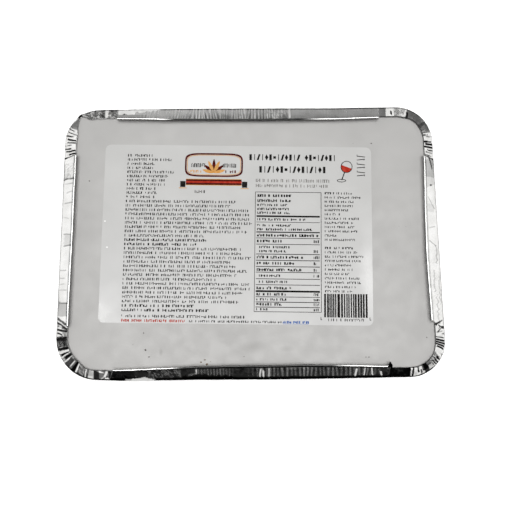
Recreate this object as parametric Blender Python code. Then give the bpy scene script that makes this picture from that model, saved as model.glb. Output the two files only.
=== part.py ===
"""A family-size takeaway meal in a shut foil tray, in metres, +Z up.

The tray is an oblong pan pressed from aluminium foil. Its upstanding edge is folded
in over a white board lid, with a rolled hem on the straight sides and gathered
pleats round the corners. A wide paper label lies on the lid. The meal can't be seen,
so the tray is solid up to the ledge that the lid lies on. The origin is at the
centre of the base. +X runs along the tray, and -Y is the side nearest the viewer.
"""

import math

import bmesh
import bpy
from mathutils import Matrix, Vector

# Outside of the rim, and how far it is out of true
TRAY_LENGTH = 0.2136
TRAY_WIDTH = 0.1541
SIDE_FLARE = 0.00106
SIDE_BOW = 0.0004
CORNER_RADIUS = 0.020

# Pan: the flat base, its pressed groove, the sloping wall and the ledge
BASE_INSET = 0.0195
BASE_CORNER_RADIUS = 0.012
BASE_ROUND = 0.0015
GROOVE_INSET = 0.026
GROOVE_WIDTH = 0.004
GROOVE_DEPTH = 0.0009
LEDGE_TOP = 0.046
LEDGE_THICKNESS = 0.001
LEDGE_WIDTH = 0.008
LEDGE_CORNER_RADIUS = 0.013

# Folded edge on the straight sides: a sheet that rises inwards to a rolled hem
FOIL_THICKNESS = 0.0006
EDGE_LIFT = 0.0001
HEM_INSET = 0.0077
HEM_HEIGHT = 0.0047
HEM_RADIUS = 0.0006
HEM_SIDES = 6
RIM_ROUND = 0.0004

# Corner flaps: the hem is pressed open and its foil lies gathered on the lid
FLAP_INSET = 0.0056
FLAP_HEIGHT = 0.0020
FLAP_ARCH = 0.0004
FLAP_REACH_LONG = 0.0110
FLAP_REACH_SHORT = 0.0085
FLAP_STEP = 0.0008
PLEATS_PER_CORNER = 12
PLEATS_PER_REACH = 3
PLEAT_DEPTH = 0.00035
HEM_STEPS = 5
WALL_FLUTES_PER_CORNER = 6
WALL_FLUTE_DEPTH = 0.0004

# Lid and label
LID_INSET = 0.0042
LID_GAP = 0.0003
LID_THICKNESS = 0.0006
LABEL_LENGTH = 0.1524
LABEL_WIDTH = 0.1016
LABEL_THICKNESS = 0.0002
LABEL_CORNER_RADIUS = 0.003
LABEL_CENTRE = (-0.0071, 0.0035)
LABEL_TURN = math.radians(-1.24)
CORNER_ARC_STEPS = 10


def clear_scene():
    """Remove whatever objects the file opened with."""
    for item in list(bpy.data.objects):
        bpy.data.objects.remove(item, do_unlink=True)


def make_material(name, colour, roughness, metallic):
    """A plain material with the piece's colour, roughness and metallic value."""
    material = bpy.data.materials.new(name)
    material.use_nodes = True
    shader = material.node_tree.nodes["Principled BSDF"]
    shader.inputs["Base Color"].default_value = (*colour, 1.0)
    shader.inputs["Roughness"].default_value = roughness
    shader.inputs["Metallic"].default_value = metallic
    return material


def side_places(corner):
    """Where the stations lie along the side after a corner, as (along, gather, flap).

    The flaps of the corners at both ends reach a little way along the side. The
    hem lies between them, and has no gather and no flap.
    """
    if corner % 2 == 0:
        length, reach = TRAY_LENGTH - 2 * CORNER_RADIUS, FLAP_REACH_LONG
    else:
        length, reach = TRAY_WIDTH - 2 * CORNER_RADIUS, FLAP_REACH_SHORT
    reach_steps = 2 * PLEATS_PER_REACH
    flap_places = []
    for step in range(1, reach_steps + 1):
        flap_places.append((reach * step / reach_steps / length, 1 if step % 2 else -1, 1.0))
    hem_start = (reach + FLAP_STEP) / length
    hem_places = []
    for step in range(HEM_STEPS + 1):
        hem_places.append((hem_start + (1 - 2 * hem_start) * step / HEM_STEPS, 0, 0.0))
    mirrored = [(1 - along, gather, flap) for along, gather, flap in reversed(flap_places)]
    return flap_places + hem_places + mirrored


def make_stations():
    """The places round the rim, anticlockwise from the right side.

    Each is (corner, turn, along, gather, flap): the corner it belongs to, the angle
    of its outward direction, how far along the straight side after that corner it
    lies from 0 to 1, its gather, which alternates round a corner's flap and is zero
    on a hem, and its flap, which is 1 at a corner and 0 on a hem.
    """
    stations = []
    corner_steps = 2 * PLEATS_PER_CORNER
    for corner in range(4):
        for step in range(corner_steps + 1):
            turn = (corner + step / corner_steps) * math.pi / 2
            stations.append((corner, turn, 0.0, 1 if step % 2 else -1, 1.0))
        for along, gather, flap in side_places(corner):
            stations.append((corner, (corner + 1) * math.pi / 2, along, gather, flap))
    return stations


def corner_centre(corner, inset, radius):
    """The centre of a corner's arc, on the outline drawn in by inset."""
    half_length = TRAY_LENGTH / 2 - inset - radius
    half_width = TRAY_WIDTH / 2 - inset - radius
    sign_x = (1, -1, -1, 1)[corner]
    sign_y = (1, 1, -1, -1)[corner]
    return Vector((sign_x * half_length, sign_y * half_width))


def outline_point(station, inset, radius):
    """A point of the rounded rectangle that lies inset from the rim."""
    corner, turn, along, _, _ = station
    here = corner_centre(corner, inset, radius)
    there = corner_centre((corner + 1) % 4, inset, radius)
    outward = Vector((math.cos(turn), math.sin(turn)))
    point = here.lerp(there, along) + radius * outward
    bow = SIDE_BOW * math.sin(math.pi * along)
    if corner % 2 == 0:
        point += bow * outward
    point.x *= 1 - 2 * SIDE_FLARE / TRAY_LENGTH * point.y / (TRAY_WIDTH / 2)
    return point


def pan_section():
    """The pan's outer face as (inset, height, corner radius, flute) from its base."""
    groove_end = GROOVE_INSET + GROOVE_WIDTH
    wall_top = LEDGE_TOP - LEDGE_THICKNESS
    slope = (BASE_INSET - LEDGE_WIDTH) / wall_top
    wall_middle = wall_top / 2
    inner_radius = BASE_CORNER_RADIUS / 2
    return [
        (groove_end + GROOVE_DEPTH, 0.0, inner_radius, 0.0),
        (groove_end, GROOVE_DEPTH, inner_radius, 0.0),
        (GROOVE_INSET, GROOVE_DEPTH, inner_radius, 0.0),
        (GROOVE_INSET - GROOVE_DEPTH, 0.0, inner_radius, 0.0),
        (BASE_INSET + BASE_ROUND, 0.0, BASE_CORNER_RADIUS, 0.0),
        (BASE_INSET, BASE_ROUND, BASE_CORNER_RADIUS, 0.0),
        (BASE_INSET - slope * wall_middle, wall_middle, LEDGE_CORNER_RADIUS, 1.0),
        (LEDGE_WIDTH + slope * BASE_ROUND, wall_top - BASE_ROUND, LEDGE_CORNER_RADIUS, 1.0),
        (LEDGE_WIDTH - BASE_ROUND, wall_top, LEDGE_CORNER_RADIUS + BASE_ROUND, 0.0),
        (RIM_ROUND, wall_top, CORNER_RADIUS - RIM_ROUND, 0.0),
        (0.0, wall_top + RIM_ROUND, CORNER_RADIUS, 0.0),
    ]


def band_section(gather, flap):
    """The folded edge as (inset, height), out over its top and back underneath.

    The sheet's middle line runs from the rim up to the hem, or over the low arch
    of a corner's flap. A gather lifts or lowers it, more towards its inner edge,
    and both faces follow at half its thickness.
    """
    foot = Vector((FOIL_THICKNESS / 2, LEDGE_TOP + EDGE_LIFT))
    hem = Vector((HEM_INSET, LEDGE_TOP + HEM_HEIGHT))
    flap_end = Vector((FLAP_INSET, LEDGE_TOP + FLAP_HEIGHT))
    inner = hem.lerp(flap_end, flap)
    slope = (inner - foot).normalized()
    upward = Vector((-slope.y, slope.x))
    lift = gather * PLEAT_DEPTH * upward
    half = FOIL_THICKNESS / 2 * upward
    middle = foot.lerp(inner, 0.5) + 0.6 * lift + flap * FLAP_ARCH * upward
    end = inner - slope * HEM_RADIUS + lift
    edge_radius = HEM_RADIUS + (FOIL_THICKNESS / 2 - HEM_RADIUS) * flap
    points = [foot + half, middle + half, end + half]
    start = math.atan2(upward.y, upward.x)
    for step in range(1, HEM_SIDES):
        angle = start - math.pi * step / HEM_SIDES
        direction = Vector((math.cos(angle), math.sin(angle)))
        points.append(inner + lift + edge_radius * direction)
    points += [end - half, middle - half]
    return [(point.x, point.y) for point in points]


def ledge_section():
    """The ledge's upper face, from the fold to the flat that the lid covers."""
    fold_inset = 2 * FOIL_THICKNESS
    return [
        (fold_inset, LEDGE_TOP, CORNER_RADIUS - fold_inset),
        (LEDGE_WIDTH, LEDGE_TOP, LEDGE_CORNER_RADIUS),
    ]


def station_ring(station):
    """All of one station's points, from the middle of the base to the lid's seat."""
    _, turn, along, gather, flap = station
    outward = Vector((math.cos(turn), math.sin(turn)))
    corner_part = (turn / (math.pi / 2)) % 1.0 if along == 0.0 else 0.0
    flute = math.sin(2 * math.pi * WALL_FLUTES_PER_CORNER * corner_part)
    points = []
    for inset, height, radius, fluted in pan_section():
        flat = outline_point(station, inset, radius)
        flat += fluted * flute * WALL_FLUTE_DEPTH * outward
        points.append((flat.x, flat.y, height))
    for inset, height in band_section(gather, flap):
        flat = outline_point(station, inset, CORNER_RADIUS - inset)
        points.append((flat.x, flat.y, height))
    for inset, height, radius in ledge_section():
        flat = outline_point(station, inset, radius)
        points.append((flat.x, flat.y, height))
    return points


def build_tray(collection):
    """The tray, lofted round the rim between sections whose gathers differ."""
    shape = bmesh.new()
    rings = []
    for station in make_stations():
        rings.append([shape.verts.new(point) for point in station_ring(station)])
    for ring, following in zip(rings, rings[1:] + rings[:1]):
        for row in range(len(ring) - 1):
            corners = (ring[row], following[row], following[row + 1], ring[row + 1])
            shape.faces.new(corners)
    shape.faces.new([ring[0] for ring in reversed(rings)])
    shape.faces.new([ring[-1] for ring in rings])
    bmesh.ops.recalc_face_normals(shape, faces=shape.faces)
    mesh = bpy.data.meshes.new("foil_tray")
    shape.to_mesh(mesh)
    shape.free()
    mesh.shade_smooth()
    mesh.set_sharp_from_angle(angle=math.radians(35))
    tray = bpy.data.objects.new("foil_tray", mesh)
    mesh.materials.append(make_material("aluminium_foil", (0.80, 0.80, 0.80), 0.25, 1.0))
    collection.objects.link(tray)


def rounded_rectangle(length, width, radius):
    """Points of a rounded rectangle about the origin, anticlockwise."""
    points = []
    for corner in range(4):
        sign_x = (1, -1, -1, 1)[corner]
        sign_y = (1, 1, -1, -1)[corner]
        centre = Vector((sign_x * (length / 2 - radius), sign_y * (width / 2 - radius)))
        for step in range(CORNER_ARC_STEPS + 1):
            turn = (corner + step / CORNER_ARC_STEPS) * math.pi / 2
            points.append(centre + radius * Vector((math.cos(turn), math.sin(turn))))
    return points


def build_flat_piece(name, points, thickness, bottom, material, collection):
    """A flat outline given its thickness, with its lower face at the height bottom."""
    curve = bpy.data.curves.new(name, "CURVE")
    curve.dimensions = "2D"
    curve.fill_mode = "BOTH"
    curve.extrude = thickness / 2
    spline = curve.splines.new("POLY")
    spline.points.add(len(points) - 1)
    for target, point in zip(spline.points, points):
        target.co = (point.x, point.y, 0.0, 1.0)
    spline.use_cyclic_u = True
    curve.materials.append(material)
    piece = bpy.data.objects.new(name, curve)
    piece.location.z = bottom + thickness / 2
    collection.objects.link(piece)
    return piece


def build_lid(collection):
    """The board lid, which lies on the ledge under the folded edge."""
    points = rounded_rectangle(
        TRAY_LENGTH - 2 * LID_INSET, TRAY_WIDTH - 2 * LID_INSET, CORNER_RADIUS - LID_INSET
    )
    board = make_material("white_board", (0.62, 0.61, 0.60), 0.55, 0.0)
    bottom = LEDGE_TOP + LID_GAP
    return build_flat_piece("board_lid", points, LID_THICKNESS, bottom, board, collection)


def build_label(collection):
    """The paper label, a little crooked on the lid and left of its centre."""
    turn = Matrix.Rotation(LABEL_TURN, 2)
    centre = Vector(LABEL_CENTRE)
    outline = rounded_rectangle(LABEL_LENGTH, LABEL_WIDTH, LABEL_CORNER_RADIUS)
    points = [turn @ point + centre for point in outline]
    paper = make_material("label_paper", (0.72, 0.72, 0.71), 0.45, 0.0)
    bottom = LEDGE_TOP + 2 * LID_GAP + LID_THICKNESS
    return build_flat_piece("label", points, LABEL_THICKNESS, bottom, paper, collection)


def main():
    """Build the tray, its lid and its label in one collection."""
    clear_scene()
    collection = bpy.data.collections.new("foil_tray_meal")
    bpy.context.scene.collection.children.link(collection)
    build_tray(collection)
    build_lid(collection)
    build_label(collection)


main()
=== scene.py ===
# %% [markdown]
# # A takeaway meal in a shut foil tray
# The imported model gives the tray, its board lid and its label at their real size. This
# lesson dresses them: wrinkled foil, coated board, a printed label, light and a camera.
# Everything is in metres in the model's own frame, and lengths below are in millimetres
# that MM turns into metres where a mesh is made.

import bpy
import numpy as np
from mathutils import Matrix, Vector


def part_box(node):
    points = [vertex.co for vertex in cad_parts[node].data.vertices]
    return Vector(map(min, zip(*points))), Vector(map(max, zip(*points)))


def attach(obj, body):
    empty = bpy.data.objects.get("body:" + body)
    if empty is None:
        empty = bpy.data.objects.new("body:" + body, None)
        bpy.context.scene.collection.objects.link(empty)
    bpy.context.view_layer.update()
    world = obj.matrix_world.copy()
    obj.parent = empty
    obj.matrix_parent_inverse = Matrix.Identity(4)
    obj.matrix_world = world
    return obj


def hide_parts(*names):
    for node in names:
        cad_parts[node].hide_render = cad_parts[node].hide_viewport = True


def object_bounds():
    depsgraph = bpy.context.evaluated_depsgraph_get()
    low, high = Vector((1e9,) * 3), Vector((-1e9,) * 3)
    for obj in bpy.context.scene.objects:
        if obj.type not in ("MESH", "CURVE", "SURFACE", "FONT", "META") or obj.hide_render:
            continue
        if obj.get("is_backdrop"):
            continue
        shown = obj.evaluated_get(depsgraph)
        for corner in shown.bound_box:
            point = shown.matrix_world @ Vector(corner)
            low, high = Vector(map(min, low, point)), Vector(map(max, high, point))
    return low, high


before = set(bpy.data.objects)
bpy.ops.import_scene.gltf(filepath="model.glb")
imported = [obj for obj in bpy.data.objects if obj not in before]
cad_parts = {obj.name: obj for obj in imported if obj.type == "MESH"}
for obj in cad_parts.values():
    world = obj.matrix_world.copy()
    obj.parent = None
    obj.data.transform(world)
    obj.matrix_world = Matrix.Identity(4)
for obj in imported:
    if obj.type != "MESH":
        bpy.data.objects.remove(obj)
cad_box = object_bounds()
MM = 0.001
scene = bpy.context.scene
print("nodes", sorted(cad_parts))

# %% [markdown]
# ## The camera
# The label is the ruler: it is 152.4 by 101.6 mm, and its four corners in the picture fix
# where the camera stood. It looks down from the near side, a little off the vertical.
# The lens follows from the picture's width in pixels and the distance in pixels.

# %% Place the camera
IMAGE_SIZE = 506
FOCAL_PIXELS = 546.8
SENSOR_WIDTH = 36.0
CAMERA_PLACE = Vector((1.45, -44.27, 352.0)) * MM
CAMERA_AIM = Vector((1.81, -7.76, 47.2)) * MM
CAMERA_ROLL = np.radians(-0.561)


def aim_camera():
    """Point the camera's -Z along the line to its aim, then roll it about that line."""
    lens = bpy.data.cameras.new("camera")
    lens.sensor_width = SENSOR_WIDTH
    lens.lens = SENSOR_WIDTH * FOCAL_PIXELS / IMAGE_SIZE
    lens.clip_start = 0.01
    lens.clip_end = 20
    camera = bpy.data.objects.new("camera", lens)
    forward = (CAMERA_AIM - CAMERA_PLACE).normalized()
    right = Vector((np.cos(CAMERA_ROLL), np.sin(CAMERA_ROLL), 0.0))
    right = (right - forward * right.dot(forward)).normalized()
    up = right.cross(forward)
    turn = Matrix((right, up, -forward)).transposed()
    camera.matrix_world = Matrix.Translation(CAMERA_PLACE) @ turn.to_4x4()
    scene.collection.objects.link(camera)
    scene.camera = camera


aim_camera()
print("lens in mm", round(scene.camera.data.lens, 2))

# %% [markdown]
# ## Meshes from arrays
# Every surface here is a grid of points worked out in one go with numpy. A helper joins
# the grid's neighbours into four-sided faces, wraps the grid where it closes on itself,
# and can close an open end with a fan to one middle point.

# %% Turn a grid of points into a mesh object


def grid_faces(rows, columns, wrap_rows, wrap_columns):
    """Corner numbers of the faces between neighbouring rows and columns of a grid."""
    row = np.arange(rows if wrap_rows else rows - 1)
    column = np.arange(columns if wrap_columns else columns - 1)
    r, c = np.meshgrid(row, column, indexing="ij")
    r_next, c_next = (r + 1) % rows, (c + 1) % columns
    corners = [r * columns + c, r_next * columns + c]
    corners += [r_next * columns + c_next, r * columns + c_next]
    return np.stack(corners, -1).reshape(-1, 4)


def fan_faces(ring, middle, flip):
    """Triangles from a ring of point numbers to one middle point."""
    after = np.roll(ring, -1)
    centre = np.full(len(ring), middle)
    order = [after, ring, centre] if flip else [ring, after, centre]
    return np.stack(order, -1)


SHARP_ANGLE = np.radians(70)


def make_piece(name, points, faces, slot, replaced, smooth=True):
    """A mesh piece that rides on the model and stands for the nodes it replaces."""
    mesh = bpy.data.meshes.new(name)
    mesh.from_pydata((points * MM).tolist(), [], faces)
    mesh.update()
    if smooth:
        mesh.shade_smooth()
        mesh.set_sharp_from_angle(angle=SHARP_ANGLE)
    piece = bpy.data.objects.new(name, mesh)
    scene.collection.objects.link(piece)
    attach(piece, "root")
    if replaced:
        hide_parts(replaced)
    print(name, "has", len(mesh.vertices), "points and", len(mesh.polygons), "faces")
    return piece


# %% [markdown]
# ## Noise for foil
# Foil shows two kinds of unevenness. Gentle waves come from eased noise. Crumples are flat
# facets that meet in sharp creases, so their noise runs straight between its lattice
# points, as a sheet does that can bend but hardly stretches.

# %% Make eased and faceted noise


def lattice(x, y, cells, seed):
    """Random values of -1 to 1 at the four lattice points round each place."""
    table = np.random.default_rng(seed).uniform(-1, 1, (cells, 64))
    x, y = np.broadcast_arrays(x, y)
    column, row = np.floor(x).astype(int), np.floor(y).astype(int)
    left, right = column % cells, (column + 1) % cells
    low, high = row % 64, (row + 1) % 64
    corners = table[left, low], table[right, low], table[left, high], table[right, high]
    return corners, x - column, y - row


def eased_noise(x, y, cells, seed):
    """Lattice values blended along both ways with 3t^2 - 2t^3. It repeats after cells."""
    (a, b, c, d), fx, fy = lattice(x, y, cells, seed)
    fx, fy = fx * fx * (3 - 2 * fx), fy * fy * (3 - 2 * fy)
    return (a * (1 - fx) + b * fx) * (1 - fy) + (c * (1 - fx) + d * fx) * fy


def facet_noise(x, y, cells, seed):
    """Lattice values on flat triangles, two to a cell, so that creases run between."""
    (a, b, c, d), fx, fy = lattice(x, y, cells, seed)
    lower = a + (b - a) * fx + (c - a) * fy
    upper = d + (c - d) * (1 - fx) + (b - d) * (1 - fy)
    return np.where(fx + fy < 1, lower, upper)


def ease(value, start, end):
    """0 before start, 1 after end, and 3t^2 - 2t^3 between."""
    t = np.clip((value - start) / (end - start), 0, 1)
    return t * t * (3 - 2 * t)


print("some eased noise", np.round(eased_noise(np.arange(4) + 0.5, 0.0, 8, 1), 2))

# %% [markdown]
# ## The rim's outline
# The rim is a rounded rectangle, 2 mm longer on the near side and bowed a little on its
# long sides. Its four corners differ, because such trays are closed by hand or by a worn
# tool. One list of places goes round it anticlockwise, evenly by length, and gives each
# place its foot on the outline and its outward direction.

# %% Walk round the rim
foil_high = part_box("foil_tray")[1]
lid_low, lid_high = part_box("board_lid")
label_low, label_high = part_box("label")
SIDE_FLARE = 1.06
SIDE_BOW = 0.4
FLARE_AT_CORNER = 0.74
LID_CLEARANCE = 0.3
HALF_LENGTH = foil_high.x / MM - FLARE_AT_CORNER * SIDE_FLARE
HALF_WIDTH = foil_high.y / MM - SIDE_BOW
LID_TOP = lid_high.z / MM
LEDGE_TOP = lid_low.z / MM - LID_CLEARANCE
# Radii of the far right, far left, near left and near right corners
CORNER_RADII = np.array([20.5, 19.5, 24.0, 20.5])
SIGN_X = np.array([1, -1, -1, 1])
SIGN_Y = np.array([1, 1, -1, -1])
# How far the long sides stray outward: places along x, and the distance at each
FAR_WAVER = ([-70, -40, 0, 50, 80], [0, 0, -0.3, -0.5, 0])
NEAR_WAVER = ([-85, -64, -30, 20, 80], [0, 0.5, 0, 0.2, 0])
# One corner is creased to a point, at this place from its middle, this far out
CREASED_CORNER = 1
CREASE_PLACE = -3.4
CREASE_REACH = 3.0
CREASE_OUT = 0.8


class Rim:
    """The places round the rim and what each one knows about itself."""

    def __init__(self, count):
        radii = CORNER_RADII
        arcs = radii * np.pi / 2
        spans = np.array([HALF_LENGTH, HALF_WIDTH, HALF_LENGTH, HALF_WIDTH]) * 2
        sides = spans - radii - np.roll(radii, -1)
        runs = np.stack([arcs, sides], -1).ravel()
        starts = np.concatenate([[0], np.cumsum(runs)])
        self.length = starts[-1]
        self.share = np.arange(count) / count
        self.place = self.share * self.length
        run = np.searchsorted(starts, self.place, side="right") - 1
        self.corner = run // 2
        self.on_side = run % 2 == 1
        along = self.place - starts[run]
        part = np.where(self.on_side, 1.0, along / arcs[self.corner])
        turn = (self.corner + part) * np.pi / 2
        self.outward = np.stack([np.cos(turn), np.sin(turn)], -1)
        self.side_part = np.where(self.on_side, along / sides[self.corner], 0.0)
        self.middles = starts[0:8:2] + arcs / 2

    def from_corner(self, corner):
        """Length along the rim from a corner's middle, positive anticlockwise."""
        away = self.place - self.middles[corner]
        return (away + self.length / 2) % self.length - self.length / 2

    def nearest_corner(self):
        """The number of the corner whose middle is nearest along the rim."""
        return np.argmin([np.abs(self.from_corner(corner)) for corner in range(4)], axis=0)

    def outline(self, inset, extra_radius=0.0):
        """Points of the outline drawn in by inset, for one inset or one per place."""
        inset = np.broadcast_to(inset, self.place.shape)
        following = (self.corner + 1) % 4
        here = self.centre(self.corner, inset, extra_radius)
        there = self.centre(following, inset, extra_radius)
        part = self.side_part[:, None]
        before, after = CORNER_RADII[self.corner], CORNER_RADII[following]
        radius = before * (1 - self.side_part) + after * self.side_part + extra_radius - inset
        points = here * (1 - part) + there * part + radius[:, None] * self.outward
        long_side = self.on_side & (self.corner % 2 == 0)
        bow = SIDE_BOW * np.sin(np.pi * self.side_part) * long_side
        far = np.interp(points[:, 0], *FAR_WAVER) * (self.outward[:, 1] > 0.9)
        near = np.interp(points[:, 0], *NEAR_WAVER) * (self.outward[:, 1] < -0.9)
        points = points + (bow + far + near)[:, None] * self.outward
        away = np.abs(self.from_corner(CREASED_CORNER) - CREASE_PLACE)
        crease = CREASE_OUT * np.clip(1 - away / CREASE_REACH, 0, 1)
        points = points + crease[:, None] * self.outward
        points[:, 0] *= 1 - SIDE_FLARE / HALF_LENGTH * points[:, 1] / HALF_WIDTH
        return points

    def centre(self, corner, inset, extra_radius):
        """The centre of a corner's arc, which stays put while its radius shrinks."""
        radius = CORNER_RADII[corner] + extra_radius
        x = SIGN_X[corner] * (HALF_LENGTH - radius)
        y = SIGN_Y[corner] * (HALF_WIDTH - radius)
        return np.stack([x, y], -1) + 0 * inset[:, None]


RIM_PLACES = 3100
rim = Rim(RIM_PLACES)
print("the rim is", round(rim.length, 1), "mm round")

# %% [markdown]
# ## Hems and corner flaps
# Along each straight side the tray's edge is folded in, and ends in a rolled hem that
# stands over the lid. Round a corner there is too much foil for that, so it is pressed
# flat on the lid in gathers. A number from 0 on a hem to 1 on a flap says which it is, and
# it changes over one slanted step.

# %% Say where hems and flaps lie
# For each corner: where its flap starts and ends from the corner's middle, and the slant
# of the cut at each, over the band's width
FLAP_ENDS = [
    (-26.2, 26.4, 1.8, 0.8), (-26.8, 24.3, 1.0, -1.8), (-26.2, 26.2, 3.8, 2.0), (-26.6, 23.6, 1.0, 4.5),
]
FLAP_STEP = 0.7
# The hem's inner edge: places along a side, in x or in y, and the distance in from the rim
FAR_HEM = ([-75, -45, 0, 30, 50, 75], [7.6, 8.6, 8.9, 8.8, 8.6, 8.2])
LEFT_HEM = ([-45, -26, 7, 30, 49], [7.8, 8.0, 8.2, 8.2, 8.5])
NEAR_HEM = ([-76, -64, -24, 26, 56, 74.1, 75.7, 77.2], [6.4, 6.8, 7.9, 8.3, 7.6, 6.9, 9.0, 6.6])
RIGHT_HEM = ([-49, -7, 21, 47], [8.4, 9.0, 8.1, 7.3])
HEM_RADIUS = 0.45
HEM_CENTRE_HEIGHT = foil_high.z / MM - HEM_RADIUS - 0.2
# Where along y the right side's hem stands higher, how far that reaches, and by how much
HIGH_HEM_PLACE = 38.0
HIGH_HEM_REACH = 22.0
HIGH_HEM_RISE = 0.6
# For each corner: how far in its flap's inner edge lies, before and after its middle
FLAP_EDGE_INSETS = np.array([(5.6, 6.4), (5.8, 7.1), (6.8, 5.5), (5.4, 5.9)])
CREASE_EDGE_INSET = 2.4
CREASE_EDGE_REACHES = (6.5, 11.0)
FLAP_EDGE_HEIGHT = LEDGE_TOP + 2.0
CREASE_EDGE_DROP = 0.6
FOOT_INSET = 0.3
FOOT_HEIGHT = LEDGE_TOP + 0.1


def flap_share(walk, across):
    """1 on a corner's flap and 0 on a hem, for places round and across the band."""
    share = 0
    half = FLAP_STEP / 2
    for corner, (start, end, start_slant, end_slant) in enumerate(FLAP_ENDS):
        away = walk.from_corner(corner)[:, None]
        from_start = away - start - start_slant * (across - 0.5)
        from_end = away - end - end_slant * (across - 0.5)
        share = share + ease(from_start, -half, half) * (1 - ease(from_end, -half, half))
    return np.clip(share, 0, 1)


def hem_inset(walk):
    """The hem's inner edge at each place, read along x on long sides and y on short."""
    foot = walk.outline(0.0)
    far = np.interp(foot[:, 0], *FAR_HEM)
    near = np.interp(foot[:, 0], *NEAR_HEM)
    left = np.interp(foot[:, 1], *LEFT_HEM)
    right = np.interp(foot[:, 1], *RIGHT_HEM)
    vertical, flat = walk.outward[:, 1], walk.outward[:, 0]
    on_long = np.where(vertical > 0, far, near)
    on_short = np.where(flat > 0, right, left)
    return np.where(np.abs(vertical) > np.abs(flat), on_long, on_short)


def crease_share(walk):
    """1 at the creased corner's point, falling to 0 on both sides of it."""
    away = walk.from_corner(CREASED_CORNER) - CREASE_PLACE
    return 1 - ease(np.abs(away) / np.where(away < 0, *CREASE_EDGE_REACHES), 0, 1)


def flap_inset(walk):
    """The flap's inner edge, drawn out to a point at the creased corner."""
    nearest = walk.nearest_corner()
    away = np.choose(nearest, [walk.from_corner(corner) for corner in range(4)])
    before, after = FLAP_EDGE_INSETS[nearest].T
    inset = before + (after - before) * ease(away, 2, 12)
    return inset + (CREASE_EDGE_INSET - inset) * crease_share(walk)


def hem_height(walk):
    """The hem's middle: level, with slow waves and a rise at the right side's far end."""
    foot = walk.outline(0.0)
    waves = 0.25 * eased_noise(walk.share * 24, 0.0, 24, 11)
    rise = 1 - ease(np.abs(foot[:, 1] - HIGH_HEM_PLACE), 4, HIGH_HEM_REACH)
    return HEM_CENTRE_HEIGHT + waves + HIGH_HEM_RISE * rise * (foot[:, 0] > HALF_LENGTH - 12)


print("the hem's middle is", round(HEM_CENTRE_HEIGHT - LID_TOP, 1), "mm above the lid")
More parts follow.
